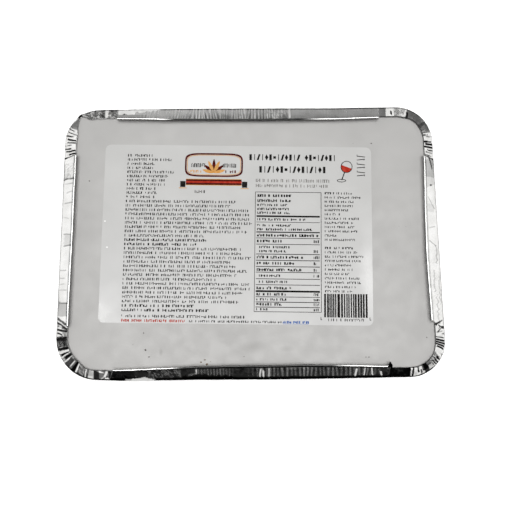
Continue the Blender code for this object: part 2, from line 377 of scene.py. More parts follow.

# %% [markdown]
# ## The folds
# The foil's relief is one height above the smooth band, worked out for every place round
# it and across it. The corners show folds that differ one by one, as a sheet gathers
# where it must, so each is listed. A fold's tone is painted light in the foil's finish:
# below 0 it is painted shade, the dark gap of a pleat and the dark room its facets would
# mirror, and above 0 it is a painted glint, a pale matte patch where a crease or facet
# would catch the light.

# %% List the folds
# Each fold is its place at the rim's foot and at the inner edge, half its width, where
# across the band it starts and ends, and its tone of painted light: painted shade below 0
# and a painted glint above 0. A tone past 1 widens the full part of its fold, because the
# sum of all tones is held between -1 and 1.
FOLDS = {
    0: [
        # Far right corner: dark pleats on the short side
        (-11.1, -10.9, 0.35, 0.05, 1.0, 0.9), (-12.6, -12.0, 0.5, 0.7, 1.0, -0.8),
        (-13.5, -12.6, 0.3, 0.0, 0.6, -0.4), (-16.8, -16.9, 0.45, 0.1, 1.0, -1.8),
        (-18.4, -18.2, 0.6, 0.0, 0.9, -1.8), (-20.2, -20.0, 0.5, 0.0, 1.0, -1.9),
        (-21.9, -21.6, 0.35, 0.0, 0.7, -1.7), (-23.6, -23.0, 0.3, 0.1, 0.9, -1.5),
        (-25.6, -24.6, 0.3, 0.2, 1.0, -1.4), (-27.0, -25.5, 0.45, 0.0, 1.0, -1.2),
        # Painted light on the far side: a pale facet with a dark nick, and a fainter pale facet beside
        # it
        (19.4, 19.9, 2.3, 0.0, 1.0, 0.9), (18.5, 19.4, 0.35, 0.45, 0.85, -2.0),
        (13.0, 13.0, 4.0, 0.0, 1.0, 0.5), (9.9, 9.4, 0.35, 0.1, 0.8, 0.8),
        (8.6, 7.6, 0.6, 0.35, 1.0, -1.1),
        # A pale crease along the far side, and wide tones under the pleats and at the bend
        (78.6, 78.6, 0.45, 0.1, 0.95, 0.6), (-20.0, -20.0, 6.2, 0.0, 1.0, 0.75),
        (-7.2, -7.2, 3.8, 0.0, 1.0, -0.38), (-2.6, -2.6, 0.3, 0.0, 0.15, 0.25),
        # Painted dark strokes, patches and faint lines down the right side
        (-37.0, -17.7, 1.2, 0.22, 0.6, -0.85), (-42.7, -42.5, 0.4, 0.36, 0.48, -0.9),
        (-32.5, -32.5, 5.6, 0.0, 1.0, -0.2), (-33.5, -37.0, 8.0, 0.0, 1.0, -0.2),
        (-58.5, -47.0, 0.3, 0.2, 0.75, -0.4), (-56.0, -56.0, 2.2, 0.2, 0.8, -0.14),
        (-66.0, -68.0, 0.25, 0.3, 0.8, -0.25),
    ],
    1: [
        # Far left corner: dark pleats on the short side, over one pale facet
        (6.6, 7.0, 0.3, 0.0, 0.6, -1.6), (8.6, 9.4, 0.3, 0.1, 1.0, -1.5),
        (11.0, 11.6, 0.35, 0.0, 0.7, -1.8), (13.0, 14.4, 0.55, 0.2, 1.0, -1.9),
        (15.4, 16.0, 0.3, 0.2, 1.0, -1.5), (17.4, 17.0, 0.2, 0.0, 0.7, -1.3),
        (19.4, 19.0, 0.3, 0.0, 0.6, -1.8), (20.8, 20.6, 0.35, 0.1, 1.0, -1.9),
        (22.9, 22.2, 0.4, 0.4, 1.0, -1.9), (24.9, 23.4, 0.4, 0.0, 1.0, -1.9),
        (15.0, 15.0, 9.2, 0.0, 1.0, 0.85),
        # The black crease at the corner's point, and marks on the far side's flap
        (-3.2, -3.2, 1.2, 0.0, 1.0, -1.0), (-19.7, -19.7, 0.8, 0.1, 0.95, 0.9),
        (-15.8, -14.8, 0.4, 0.3, 1.0, 0.3), (-9.5, -11.0, 0.5, 0.2, 0.8, 0.2),
        (-23.4, -22.6, 0.7, 0.1, 0.9, -0.25), (-12.5, -13.2, 0.5, 0.0, 0.9, -0.2),
        (-17.4, -17.8, 0.5, 0.1, 1.0, -0.25), (-6.5, -7.5, 0.5, 0.0, 0.8, -0.25),
        # Painted pale and dark strips where the far side's hem starts
        (-31.4, -31.4, 5.0, 0.0, 0.48, 1.6), (-35.0, -35.0, 8.6, 0.62, 1.0, -0.3),
        (-42.0, -42.0, 9.0, 0.0, 0.3, 1.9), (-29.6, -31.0, 0.4, 0.4, 0.6, -1.2),
        # Faint lines and painted darker facets down the left side
        (33.0, 33.0, 4.5, 0.0, 1.0, -0.16), (37.4, 37.2, 0.3, 0.0, 1.0, -0.42),
        (40.1, 40.1, 0.25, 0.1, 0.9, -0.2), (51.3, 51.2, 0.25, 0.2, 0.85, -0.4),
        (72.4, 72.4, 3.4, 0.3, 0.95, -0.16), (75.9, 75.5, 0.3, 0.3, 1.0, -0.4),
        (69.0, 69.2, 0.25, 0.3, 0.9, -0.3), (59.0, 61.0, 0.25, 0.1, 0.6, -0.22),
        (45.6, 44.6, 0.25, 0.3, 0.9, -0.2),
    ],
    2: [
        # Near left corner: slanted pleats on the short side, and a dark facet
        (-28.6, -25.0, 0.7, 0.0, 1.0, -0.8), (-26.6, -22.4, 0.45, 0.0, 1.0, -0.95),
        (-22.6, -21.4, 0.45, 0.05, 1.0, -0.95), (-21.0, -18.0, 0.4, 0.05, 0.55, -0.95),
        (-24.3, -23.0, 0.3, 0.1, 0.7, -0.35), (-14.8, -14.8, 3.9, 0.0, 1.0, -0.8),
        (-17.2, -16.8, 0.5, 0.0, 0.65, -0.9),
        # Round the bend: dark facets with pale creases between
        (-10.9, -10.5, 1.2, 0.1, 1.0, -0.9), (-12.0, -11.4, 0.3, 0.2, 1.0, 0.9),
        (-9.4, -8.4, 0.8, 0.0, 1.0, 0.75), (-6.3, -6.9, 0.35, 0.1, 0.8, 0.6),
        (-7.4, -7.4, 0.5, 0.2, 0.9, -0.9), (-5.0, -4.8, 0.9, 0.3, 1.0, -0.9),
        (-1.5, -1.2, 1.7, 0.05, 0.85, -0.7), (-3.2, -3.0, 0.25, 0.0, 0.7, 0.9),
        (0.8, 0.6, 0.25, 0.2, 0.8, 0.7), (3.4, 3.4, 1.3, 0.1, 1.0, -0.9),
        (5.3, 4.6, 0.3, 0.1, 1.0, 0.95), (8.0, 8.0, 2.4, 0.0, 1.0, 0.12),
        (11.4, 11.0, 0.3, 0.0, 0.95, 0.8), (14.7, 14.7, 1.6, 0.05, 1.0, 0.45),
        (14.2, 14.2, 1.3, 0.0, 0.3, 0.4),
        # Where the near side's hem starts: pale creases, then painted dark and painted bright stretches
        (17.8, 17.8, 1.5, 0.0, 1.0, -0.8), (29.0, 18.0, 1.0, 0.74, 0.98, 0.9),
        (21.4, 23.9, 0.5, 0.3, 1.0, 0.9), (22.2, 24.0, 0.3, 0.55, 0.8, 0.8),
        (20.0, 26.5, 0.5, 0.15, 0.5, 0.35), (23.8, 23.6, 1.2, 0.02, 0.18, 0.8),
        (25.6, 25.6, 1.0, 0.1, 1.0, -0.8), (33.0, 33.0, 6.0, 0.0, 0.95, -0.5),
        (43.0, 43.0, 7.0, 0.0, 0.22, 0.95),
        # Faint lines up the left side
        (-33.5, -33.5, 3.6, 0.0, 1.0, -0.34), (-37.4, -37.0, 0.3, 0.0, 1.0, -0.4),
        (-55.4, -55.0, 0.25, 0.0, 0.6, -0.35), (-51.0, -50.6, 0.25, 0.0, 0.5, -0.35),
        (-44.4, -44.0, 0.25, 0.0, 0.7, -0.3), (-47.6, -48.0, 0.25, 0.1, 0.6, -0.25),
        # Farther along the near side: a pale mark and painted dim stretches
        (72.0, 72.6, 0.25, 0.45, 0.78, 0.7), (70.0, 70.0, 2.0, 0.38, 0.5, 0.14),
        (77.0, 77.0, 22.0, 0.0, 0.35, -0.7), (58.5, 58.5, 5.0, 0.35, 0.8, 0.12),
    ],
    3: [
        # Near right corner: thin creases on the short side
        (22.4, 22.4, 0.7, 0.02, 0.26, -1.3), (23.3, 19.3, 0.25, 0.2, 0.75, -0.75),
        (26.6, 23.8, 0.3, 0.15, 0.9, -0.8), (25.2, 24.6, 0.25, 0.3, 0.8, -0.5),
        (20.6, 20.0, 0.25, 0.2, 0.9, -0.4), (18.9, 18.9, 0.35, 0.0, 0.3, -0.6),
        # Four broad dark pleats on a pale facet, and a crease below them
        (16.6, 17.6, 0.28, 0.1, 1.0, -1.4), (14.9, 16.1, 0.53, 0.05, 1.0, -2.4),
        (13.3, 14.6, 0.5, 0.0, 0.95, -2.4), (11.7, 13.1, 0.53, 0.05, 1.0, -2.4),
        (10.1, 11.6, 0.5, 0.0, 0.85, -2.4), (13.6, 13.8, 4.4, 0.0, 1.0, 0.45),
        (6.9, 7.3, 0.3, 0.0, 0.35, -0.7), (7.2, 8.4, 1.1, 0.1, 1.0, 0.5),
        # A long crease and streaks up the right side
        (66.0, 72.0, 0.3, 0.25, 0.8, -0.45), (63.0, 63.0, 5.0, 0.2, 0.27, -0.4),
        (48.0, 48.0, 6.0, 0.55, 0.62, -0.35), (33.0, 33.0, 8.0, 0.41, 0.48, -0.35),
        (44.0, 44.0, 9.0, 0.13, 0.2, -0.35),
        # Round the bend: small dark marks
        (2.0, 4.0, 2.6, 0.3, 1.0, -0.4), (3.6, 4.9, 0.4, 0.0, 0.5, -0.95),
        (1.9, 3.0, 0.3, 0.0, 0.6, -0.7), (0.4, 1.2, 0.3, 0.0, 0.6, -0.5),
        (-2.4, -1.8, 1.4, 0.0, 0.6, 0.5),
        # A black facet, a pale one with dark lines, a long black stretch and a nick
        (-5.9, -5.9, 2.0, 0.35, 1.0, -1.0), (-11.5, -11.5, 4.4, 0.0, 1.0, 0.7),
        (-10.6, -10.6, 0.45, 0.35, 1.0, -1.7), (-14.6, -13.8, 0.45, 0.0, 1.0, -1.7),
        (-9.0, -8.6, 0.3, 0.2, 0.6, -1.0), (-16.4, -16.4, 0.4, 0.0, 1.0, -0.9),
        (-22.0, -22.0, 5.2, 0.0, 1.0, -0.95), (-27.8, -27.8, 0.8, 0.7, 1.0, -1.0),
        # Bright creases along the near side, first near the corner and then at its middle
        (-31.2, -33.4, 0.4, 0.12, 0.6, 0.9), (-36.2, -37.6, 0.3, 0.2, 0.85, 0.95),
        (-41.4, -40.8, 0.3, 0.2, 0.8, 0.8), (-46.2, -45.2, 0.4, 0.2, 0.85, 0.9),
        (-97.6, -97.0, 0.35, 0.2, 0.8, 0.8), (-95.4, -95.8, 0.35, 0.2, 0.7, 0.9),
        (-92.8, -92.6, 0.35, 0.1, 0.85, 0.6),
    ],
}
# Mottled stretches of painted light and shade over a faint relief: corner, start and end, and strength
MOTTLES = [
    (1, -26.0, -5.0, 0.55), (0, 8.5, 17.5, 0.4), (0, -10.0, 7.0, 0.12), (2, -18.5, -11.0, 0.22),
    (2, 5.5, 10.5, 0.2), (3, -26.0, -17.0, 0.2), (3, -16.0, -8.0, 0.35), (2, 46.0, 64.0, 0.16),
    (2, 27.0, 40.0, 0.12), (1, 5.5, 24.0, 0.25), (0, -16.0, -11.0, 0.25), (0, 79.5, 92.0, 0.3),
    (3, -1.0, 6.0, 0.3), (1, 28.0, 37.5, 0.22), (3, 30.0, 70.0, 0.07),
]
print("folds listed:", [len(marks) for marks in FOLDS.values()])

# %% [markdown]
# ## From the list to a relief
# Each crease could be cut into the mesh by hand. A sum of small bumps over the whole band
# is easier to change: a fold adds its bump and its tone of painted light along its own
# slanted line, and a mottled stretch adds a faint grain of relief and a grain of painted
# light and shade, as crumpled foil mirrors bright and dark places.

# %% Add up the folds
FOLD_DEPTH = 0.28
FOLD_BLUR = 0.3


def folds(walk, across):
    """The height and the painted light of all folds, for places round and across the band.

    A narrow fold is a groove where its tone is painted shade and a ridge where its tone is
    a painted glint, and a wide one is painted light alone. Each wanders a little from its
    straight line, its ends are ragged, and a long low one is shaped like a blade, thin at
    both ends.
    """
    height, tone = 0, 0
    for corner, marks in FOLDS.items():
        away = walk.from_corner(corner)[:, None]
        wander = 0.22 * eased_noise(away / 2.0 + 60, across * 2.5, 128, 31 + corner)
        ragged = 0.10 * eased_noise(away / 1.3 + 20, 0.0, 128, 35 + corner)
        for at_foot, at_edge, half, start, end, strength in marks:
            offset = np.abs(away + wander - at_foot - (at_edge - at_foot) * across)
            level = across + ragged * (0.02 < end < 0.98)
            is_blade = half > 5 and end < 0.6
            end = end - (end - start) * 0.85 * np.clip(offset / half, 0, 1) ** 2 * is_blade
            inside = ease(level, start - 0.06, start + 0.02) * (1 - ease(level, end - 0.04, end + 0.06))
            shape = inside * (1 - ease(offset, half - FOLD_BLUR / 2, half + FOLD_BLUR))
            tone = tone + strength * shape
            height = height + np.sign(strength) * FOLD_DEPTH * min(half, 0.6) * shape * (half < 1.0)
    # A mottled stretch: a grain of painted light and shade, with a faint relief
    for corner, start, end, strength in MOTTLES:
        away = walk.from_corner(corner)[:, None]
        inside = ease(away, start - 0.5, start + 0.5) * (1 - ease(away, end - 0.5, end + 0.5))
        grain = facet_noise(away / 0.7 + 80, across * 8, 256, 51)
        grain = grain + 0.6 * eased_noise(away / 1.9 + 80, across * 3, 256, 52)
        tone = tone + strength * inside * grain
        height = height + 0.08 * strength * inside * grain
    return height, np.clip(tone, -1, 1)


sample_height = folds(rim, np.array([[0.5]]))[0]
print("folds at mid band reach", np.round([sample_height.min(), sample_height.max()], 2), "mm")

# %% [markdown]
# ## Ribs and crumples
# The closing tool leaves ribs across the long sides, fine and even at the far side and
# broad and uneven at the near one. The rest of the foil is crumpled a little, most on the
# flaps. Both are waves and noise along the rim, so that no two places are the same.

# %% Add ribs and crumples
FINE_PITCH = 1.7
BROAD_PITCH = 2.3


def side_ribs(walk, across):
    """The height of the ribs on the far and near bands, and their tone of painted light.

    Fine ribs are a cosine along x with facets added. Broad ribs are a triangle wave of
    uneven height. Eased noise bends both a little, and each fades out along x.
    """
    x = walk.outline(0.0)[:, :1]
    facing = walk.outward[:, 1:]
    far = (facing > 0.9) * ease(x, -66, -44) * (1 - 0.85 * ease(x, 10, 22))
    near = (facing < -0.9) * ease(x, -5, 8) * (1 - ease(x, 66, 72))
    faint = (facing < -0.9) * ease(x, -32, -28) * (1 - ease(x, -14, -8))
    wander = eased_noise(x / 3.1 + 50, across * 0.8, 128, 5)
    slow = 0.6 + 0.6 * eased_noise(x / 7.0 + 50, 0.0, 128, 6)
    lines = np.cos(2 * np.pi * (x / FINE_PITCH + 0.7 * wander + 0.1 * across))
    fine = 0.1 + 0.55 * lines + 0.45 * facet_noise(x / 0.7 + 200 + 0.5 * wander, across * 0.9, 512, 7)
    broad = 1 - np.abs(2 * ((x / BROAD_PITCH + 0.35 * wander + 0.12 * across) % 1.0) - 1)
    heights = 0.35 + 0.65 * np.abs(eased_noise(x / BROAD_PITCH + 90, 0.0, 128, 8))
    window = ease(across, 0.08, 0.25) * (1 - ease(across, 0.78, 0.95))
    height = 0.03 * slow * far * fine + 0.22 * heights * near * broad * window
    # The tone is painted light: pale and dark stripes where the ribs would mirror bright and dark places
    tone = 0.8 * slow * far * fine + 0.38 * heights * near * broad**2 * window
    tone = tone + 0.17 * faint * window * (0.5 + 0.5 * np.sin(2 * np.pi * x / FINE_PITCH))
    return height, tone


def crumples(walk, across):
    """Broad facets, fine facets and gentle waves, added with small weights.

    The weights grow on the flaps, most beside the creased corner, and the far side is
    calmer than the rest.
    """
    share = walk.share[:, None]
    bend = 0.35 * eased_noise(share * 240, across * 3, 240, 71)
    broad = facet_noise(share * 110 + bend, across * 2.2 + bend + 3, 110, 72)
    fine = facet_noise(share * 420 + bend * 2, across * 5 + bend * 2, 420, 73)
    gentle = eased_noise(share * 60, across * 1.4, 60, 74)
    away = walk.from_corner(CREASED_CORNER)[:, None]
    rough = flap_share(walk, across) * (0.35 + ease(-away, 4, 7) * (1 - ease(-away, 25, 28)))
    calm = 1 - 0.65 * ease(walk.outward[:, 1:], 0.9, 0.95)
    return calm * (0.08 + 0.05 * rough) * broad + (0.010 + 0.055 * rough) * fine + calm * 0.10 * gentle


def relief(walk, across):
    """The height of folds, ribs and crumples together, and the painted light of folds and ribs."""
    fold_height, painted_light_tone = folds(walk, across)
    rib_height, rib_tone = side_ribs(walk, across)
    height = fold_height + rib_height + crumples(walk, across) * ease(across, 0.0, 0.2)
    return height, np.clip(painted_light_tone + rib_tone, -1, 1)


sample_height = relief(rim, np.array([[0.5]]))[0]
print("the relief at mid band runs over", round(float(np.ptp(sample_height)), 2), "mm")

# %% [markdown]
# ## The folded rim
# The folded edge is one closed profile carried round the outline: up over the band, round
# the hem, back underneath to the foot, and out round the edge. The profile's points are
# worked out for all places at once, so it is a single grid that wraps both ways. A
# ready-made bevel couldn't change from hem to flap on the way.

# %% Work out the band
BAND_STEPS = 16
HEM_STEPS = 8
UNDER_STEPS = 5
FOIL_THICKNESS = 0.16
HEM_ARCH = 0.2
FLAP_ARCH = 0.10
FLAP_EDGE_RADIUS = 0.12
# Near, at the sides, and far: the painted shade of the valley beside the hem, where across
# the band it starts, the painted shade of the outer edge, and how far across that one reaches
VALLEY_TONES = (-1.0, -0.3, -0.6)
VALLEY_STARTS = (0.99, 0.92, 0.99)
EDGE_TONES = (-0.95, -0.4, -0.85)
EDGE_REACHES = (0.2, 0.03, 0.09)
# The hem's painted shade round its roll, from the band to below, and on its outer part by side
HEM_TONES = np.array([-0.2, 0.0, 0.0, -0.25, -0.35, -0.35, -0.5, -0.6])
HEM_OUTER_TONES = (0.0, -0.45, 0.0)
# For each corner: the painted shade of the flap's inner edge, which takes the hem's place there
FLAP_EDGE_TONES = np.array([-0.85, -0.35, -0.75, -0.85])
# Stretches of a long side with painted light: start, full, fade and end along x, and the tone,
# painted shade below 0 and a painted shine above 0
FAR_PAINTED_DARK = (-52, -42, 30, 46, -0.88)
NEAR_PAINTED_DARK = (-47, -36, 43, 57, -0.85)
NEAR_TAB = (74.0, 74.6, 77.6, 78.2, -1.0)
NEAR_EDGE_SHINE = (-70, -68.5, -56, -50, 1.9)
# The tone of the band's underside, a faint painted shade
UNDER_TONE = -0.1
BAND_END = 0.93
HEM_START = 0.12
HEM_TURN = 1.2
# The foot's rolled edge, from below to outside: distance in, and depth under the ledge
FOOT_ROLL = np.array([(0.9, 0.80), (0.12, 0.45), (0.0, 0.1)])


def band_line(walk, across):
    """The band's middle line, its upward direction, its flap share and its tone of painted light.

    A straight run from the foot to the inner edge, raised by an arch of 4t(1-t) and
    by the foil's relief.
    """
    flap = flap_share(walk, across)
    edge_in = hem_inset(walk)[:, None] - HEM_RADIUS
    inner_inset = edge_in * (1 - flap) + flap_inset(walk)[:, None] * flap
    flap_edge = (FLAP_EDGE_HEIGHT - CREASE_EDGE_DROP * crease_share(walk))[:, None]
    inner_height = hem_height(walk)[:, None] * (1 - flap) + flap_edge * flap
    run, rise = inner_inset - FOOT_INSET, inner_height - FOOT_HEIGHT
    size = np.hypot(run, rise)
    up_inset, up_height = -rise / size, run / size
    arch = (HEM_ARCH * (1 - flap) + FLAP_ARCH * flap) * 4 * across * (1 - across)
    height, tone = relief(walk, across)
    lift = arch + height
    inset = FOOT_INSET + run * across + up_inset * lift
    height = FOOT_HEIGHT + rise * across + up_height * lift
    return inset, height, up_inset, up_height, flap, tone


# %% [markdown]
# ## The hem and the rim's tones
# The hem is a small circle about the band's inner end. Its roll mirrors the bright sky in
# one place and the dark lid in another, and tones of painted light and shade, which change
# from side to side, are added round it: painted shade in the valley beside it, at the outer
# edge and on the flaps' edges, and a painted shine on some stretches.

# %% Work out the profile


def by_side(walk, tones):
    """One of three tones: for the near side, the short sides, or the far side."""
    facing = walk.outward[:, 1:]
    return np.where(facing < -0.75, tones[0], np.where(facing > 0.75, tones[2], tones[1]))


def painted_light_stretch(walk, facing, start, full, fade, end, tone):
    """A tone of painted light on part of one long side, eased in and out along x: painted shade below 0,
    a painted shine above 0.
    """
    x = walk.outline(0.0)[:, :1]
    return tone * (walk.outward[:, 1:] * facing > 0.9) * ease(x, start, full) * (1 - ease(x, fade, end))


def hem_tones(walk, flap):
    """The painted shade round the hem's roll: the darkest of its own, its stretch's and a flap's."""
    painted_dark = painted_light_stretch(walk, 1, *FAR_PAINTED_DARK)
    painted_dark = painted_dark + painted_light_stretch(walk, -1, *NEAR_PAINTED_DARK) + painted_light_stretch(walk, -1, *NEAR_TAB)
    flap_tone = FLAP_EDGE_TONES[walk.nearest_corner()][:, None] * flap
    tones = np.minimum(np.minimum(flap_tone, painted_dark), HEM_TONES)
    tones[:, :2] = np.minimum(tones[:, :2], by_side(walk, HEM_OUTER_TONES))
    return tones


def rim_profile(walk):
    """Insets, heights and tones of painted light of the rim's closed profile, one row for each place.

    The band's upper face runs in to the hem, a circle of cos and sin goes round the hem,
    the lower face runs back, and three points roll round the foot.
    """
    across = np.linspace(0, 1, BAND_STEPS)[None, :]
    inset, height, up_inset, up_height, flap, tone = band_line(walk, across * BAND_END)
    half_in, half_up = up_inset * FOIL_THICKNESS / 2, up_height * FOIL_THICKNESS / 2
    end_in, end_up, edge_up_in, edge_up, end_flap = band_line(walk, np.ones((1, 1)))[:5]
    radius = HEM_RADIUS * (1 - end_flap) + FLAP_EDGE_RADIUS * end_flap
    turns = HEM_START - np.linspace(0, 1, HEM_STEPS)[None, :] * HEM_TURN
    angle = np.arctan2(edge_up, edge_up_in) + np.pi * turns
    back = np.linspace(BAND_STEPS - 1, 1, UNDER_STEPS).astype(int)
    ones = np.ones((len(walk.place), 1))
    insets = [inset + half_in, end_in + radius * np.cos(angle), (inset - half_in)[:, back]]
    heights = [height + half_up, end_up + radius * np.sin(angle), (height - half_up)[:, back]]
    insets.append(ones * FOOT_ROLL[:, 0])
    heights.append(ones * (LEDGE_TOP - FOOT_ROLL[:, 1]))
    valley = by_side(walk, VALLEY_TONES) * (1 - flap) * (across > by_side(walk, VALLEY_STARTS))
    edge = by_side(walk, EDGE_TONES) + painted_light_stretch(walk, -1, *NEAR_EDGE_SHINE)
    reach = by_side(walk, EDGE_REACHES)
    at_edge = (1 - ease(across, 0.8 * reach, 1.2 * reach)) * (1 - flap * (across > 0.1))
    tones = [np.clip(tone + valley + edge * at_edge, -1, 1), hem_tones(walk, end_flap)]
    tones += [ones * np.full(UNDER_STEPS, UNDER_TONE), edge * np.ones(len(FOOT_ROLL))]
    return np.concatenate(insets, 1), np.concatenate(heights, 1), np.concatenate(tones, 1)


# %% [markdown]
# ## Round the outline
# Each place's profile is set upright on the outline there, facing outwards. Where the foil
# would sink into the lid, it is lifted clear. The tones of painted light and shade go into
# an attribute of the mesh, for the foil's finish to read.

# %% Make the folded rim
LID_EDGE_INSET = 4.0
LID_CREASE_OUT = 2.3
OVER_LID_GAP = 0.12


def make_rim():
    """Carry the profile round the outline and keep it clear of the lid's top."""
    insets, heights, tones = rim_profile(rim)
    count, columns = insets.shape
    over_lid = insets > LID_EDGE_INSET - LID_CREASE_OUT * crease_share(rim)[:, None]
    over_lid[:, -len(FOOT_ROLL):] = False
    heights = np.where(over_lid, np.maximum(heights, LID_TOP + OVER_LID_GAP), heights)
    jog = 0.06 * eased_noise(rim.share * 170, 0.0, 170, 91)[:, None]
    shift = (insets + jog)[:, :, None] * rim.outward[:, None, :]
    flat = rim.outline(0.0)[:, None, :] - shift
    points = np.concatenate([flat, heights[:, :, None]], -1)
    faces = grid_faces(count, columns, True, True)[:, ::-1]
    piece = make_piece("folded_rim", points.reshape(-1, 3), faces.tolist(), "foil", "foil_tray")
    piece.data.attributes.new("tone", "FLOAT", "POINT").data.foreach_set("value", tones.ravel())
    return piece


folded_rim = make_rim()

# %% [markdown]
# ## The pan
# Below the ledge the pan is pressed from the same foil: a sloping wall with flutes at its
# corners, where the flat sheet had to gather, and a base with a shallow pressed groove.
# It is made as the rim is, ring under ring, and closed by a fan at the middle of the base.

# %% Make the pan
PAN_PLACES = 960
WALL_ROWS = 22
WALL_TOP_DROP = 1.2
WALL_TOP_INSET = 8.0
BASE_INSET = 19.5
BASE_ROUND = 1.5
GROOVE_INSET = 26.0
GROOVE_WIDTH = 4.0
GROOVE_DEPTH = 0.9
WALL_RADIUS_GAIN = 1.0
BASE_RADIUS_GAIN = 11.5
INNER_SHARES = (0.8, 0.6, 0.4, 0.2)
LEDGE_UNDERSIDE = LEDGE_TOP - 0.85
FLUTES_PER_CORNER = 9
FLUTE_DEPTH = 0.75


def pan_rows():
    """Rows of the pan as (inset, height, radius gain, wall share), from ledge to base.

    The wall is a straight slope, its foot a quarter circle, and the groove an arch of
    sin(pi t)^0.7. The relief is strongest halfway down the wall.
    """
    wall_top = LEDGE_TOP - WALL_TOP_DROP
    rows = [(0.9, LEDGE_TOP, 0.0, 0.0), (0.9, LEDGE_TOP - 0.75, 0.0, 0.0)]
    rows += [(inset, LEDGE_UNDERSIDE, 0.0, 0.0) for inset in (1.2, 2.5, 4.0, 5.5, 6.8)]
    for part in np.linspace(0, 1, WALL_ROWS):
        inset = WALL_TOP_INSET + (BASE_INSET - WALL_TOP_INSET) * part
        height = wall_top + (BASE_ROUND - wall_top) * part
        gain = WALL_RADIUS_GAIN + (BASE_RADIUS_GAIN - WALL_RADIUS_GAIN) * part
        rows.append((inset, height, gain, np.sin(np.pi * (0.12 + 0.8 * part))))
    for angle in np.radians([25, 50, 75, 90]):
        inset = BASE_INSET + BASE_ROUND * (1 - np.cos(angle))
        rows.append((inset, BASE_ROUND * (1 - np.sin(angle)) * (angle < 1.5), BASE_RADIUS_GAIN, 0.0))
    rows.append((GROOVE_INSET - 1.6, 0.0, BASE_RADIUS_GAIN, 0.0))
    for part in np.linspace(0, 1, 9):
        inset = GROOVE_INSET - 1.2 + (GROOVE_WIDTH + 2.4) * part
        rows.append((inset, GROOVE_DEPTH * np.sin(np.pi * part) ** 0.7, BASE_RADIUS_GAIN + 3, 0.0))
    return rows


def groove_wave(phase, flat):
    """Height 1 over the flat share of each pitch, then a V-shaped groove down to 0."""
    part = phase % 1.0
    return np.where(part < flat, 1.0, np.abs(2 * (part - flat) / (1 - flat) - 1))


def pan_relief(walk, part, row):
    """Flutes round the corners, upright wrinkles beside them and slow dents."""
    flutes = 0
    for corner in range(4):
        away = walk.from_corner(corner)
        arc = CORNER_RADII[corner] * np.pi / 4
        near = 1 - ease(np.abs(away), arc * 0.8, arc * 1.5)
        wander = 0.5 * eased_noise(away / 4.0 + 30, 0.0, 64, 101 + corner)
        wave = groove_wave(away / (2 * arc) * FLUTES_PER_CORNER + wander, 0.25) - 0.6
        flutes = flutes + near * FLUTE_DEPTH * wave
    upright = 0.10 * facet_noise(walk.share * 160, row * 0.07, 160, 111)
    dents = 0.35 * eased_noise(walk.share * 26, row * 0.16, 26, 112)
    return part * (flutes + upright + dents)


def make_pan():
    """Stack the rows into rings, shrink the last ring to the middle, and close it."""
    walk = Rim(PAN_PLACES)
    rings = []
    for number, (inset, height, gain, part) in enumerate(pan_rows()):
        flat = walk.outline(inset, gain) + pan_relief(walk, part, number)[:, None] * walk.outward
        rings.append(np.column_stack([flat, np.full(PAN_PLACES, height)]))
    base = rings[-1]
    rings += [base * [share, share, 0.0] for share in INNER_SHARES]
    count = len(rings)
    points = np.concatenate(rings + [[[0.0, 0.0, 0.0], [0.0, 0.0, rings[0][0, 2]]]])
    faces = grid_faces(count, PAN_PLACES, False, True)
    last = (count - 1) * PAN_PLACES + np.arange(PAN_PLACES)
    middle = count * PAN_PLACES
    fans = fan_faces(last, middle, True).tolist()
    fans += fan_faces(np.arange(PAN_PLACES), middle + 1, False).tolist()
    return make_piece("pan", points, faces.tolist() + fans, "foil", "foil_tray")


pan = make_pan()

# %% [markdown]
# ## The board lid
# The lid is a sheet of coated board. The full tray pushes it up a little in the middle,
# so its face is a low dome with faint waves. Rings shrink from its rounded outline to the
# middle, above and below, and one function gives the height for the lid, the label and
# the print, so that each follows the one beneath it.

# %% Make the board lid
DOME = 0.25
LID_HALF_LENGTH = lid_high.x / MM
LID_HALF_WIDTH = lid_high.y / MM
LID_INSET = HALF_LENGTH - LID_HALF_LENGTH
LID_THICKNESS = (lid_high.z - lid_low.z) / MM
LID_PLACES = 480
LID_RINGS = 40
LID_POINT_OUT = 2.2


def lid_height(x, y):
    """The lid's upper face: a dome of (1 - x^2)(1 - y^2) with two slow waves."""
    across, along = x / LID_HALF_LENGTH, y / LID_HALF_WIDTH
    dome = DOME * (1 - across**2) * (1 - along**2)
    waves = 0.05 * np.sin(across * 5.0 + 0.7) * np.sin(along * 4.0 + 1.9)
    return LID_TOP + dome + waves


def rounded_outline(half_length, half_width, radius, count):
    """Points evenly round a rounded rectangle: each side's line, then a quarter arc."""
    sides = 2 * np.array([half_width - radius, half_length - radius] * 2)
    runs = np.stack([sides, np.full(4, radius * np.pi / 2)], -1).ravel()
    starts = np.concatenate([[0], np.cumsum(runs)])
    place = (np.arange(count) + 0.5) / count * starts[-1]
    run = np.searchsorted(starts, place, side="right") - 1
    quarter, on_arc = run // 2, run % 2 == 1
    along = place - starts[run]
    turn = quarter * np.pi / 2 + on_arc * along / radius
    left_to_go = np.where(on_arc, 0.0, sides[quarter] - along)
    x = SIGN_X[quarter] * (half_length - radius) + radius * np.cos(turn) + left_to_go * np.sin(turn)
    y = SIGN_Y[quarter] * (half_width - radius) + radius * np.sin(turn) - left_to_go * np.cos(turn)
    return np.stack([x, y], -1)


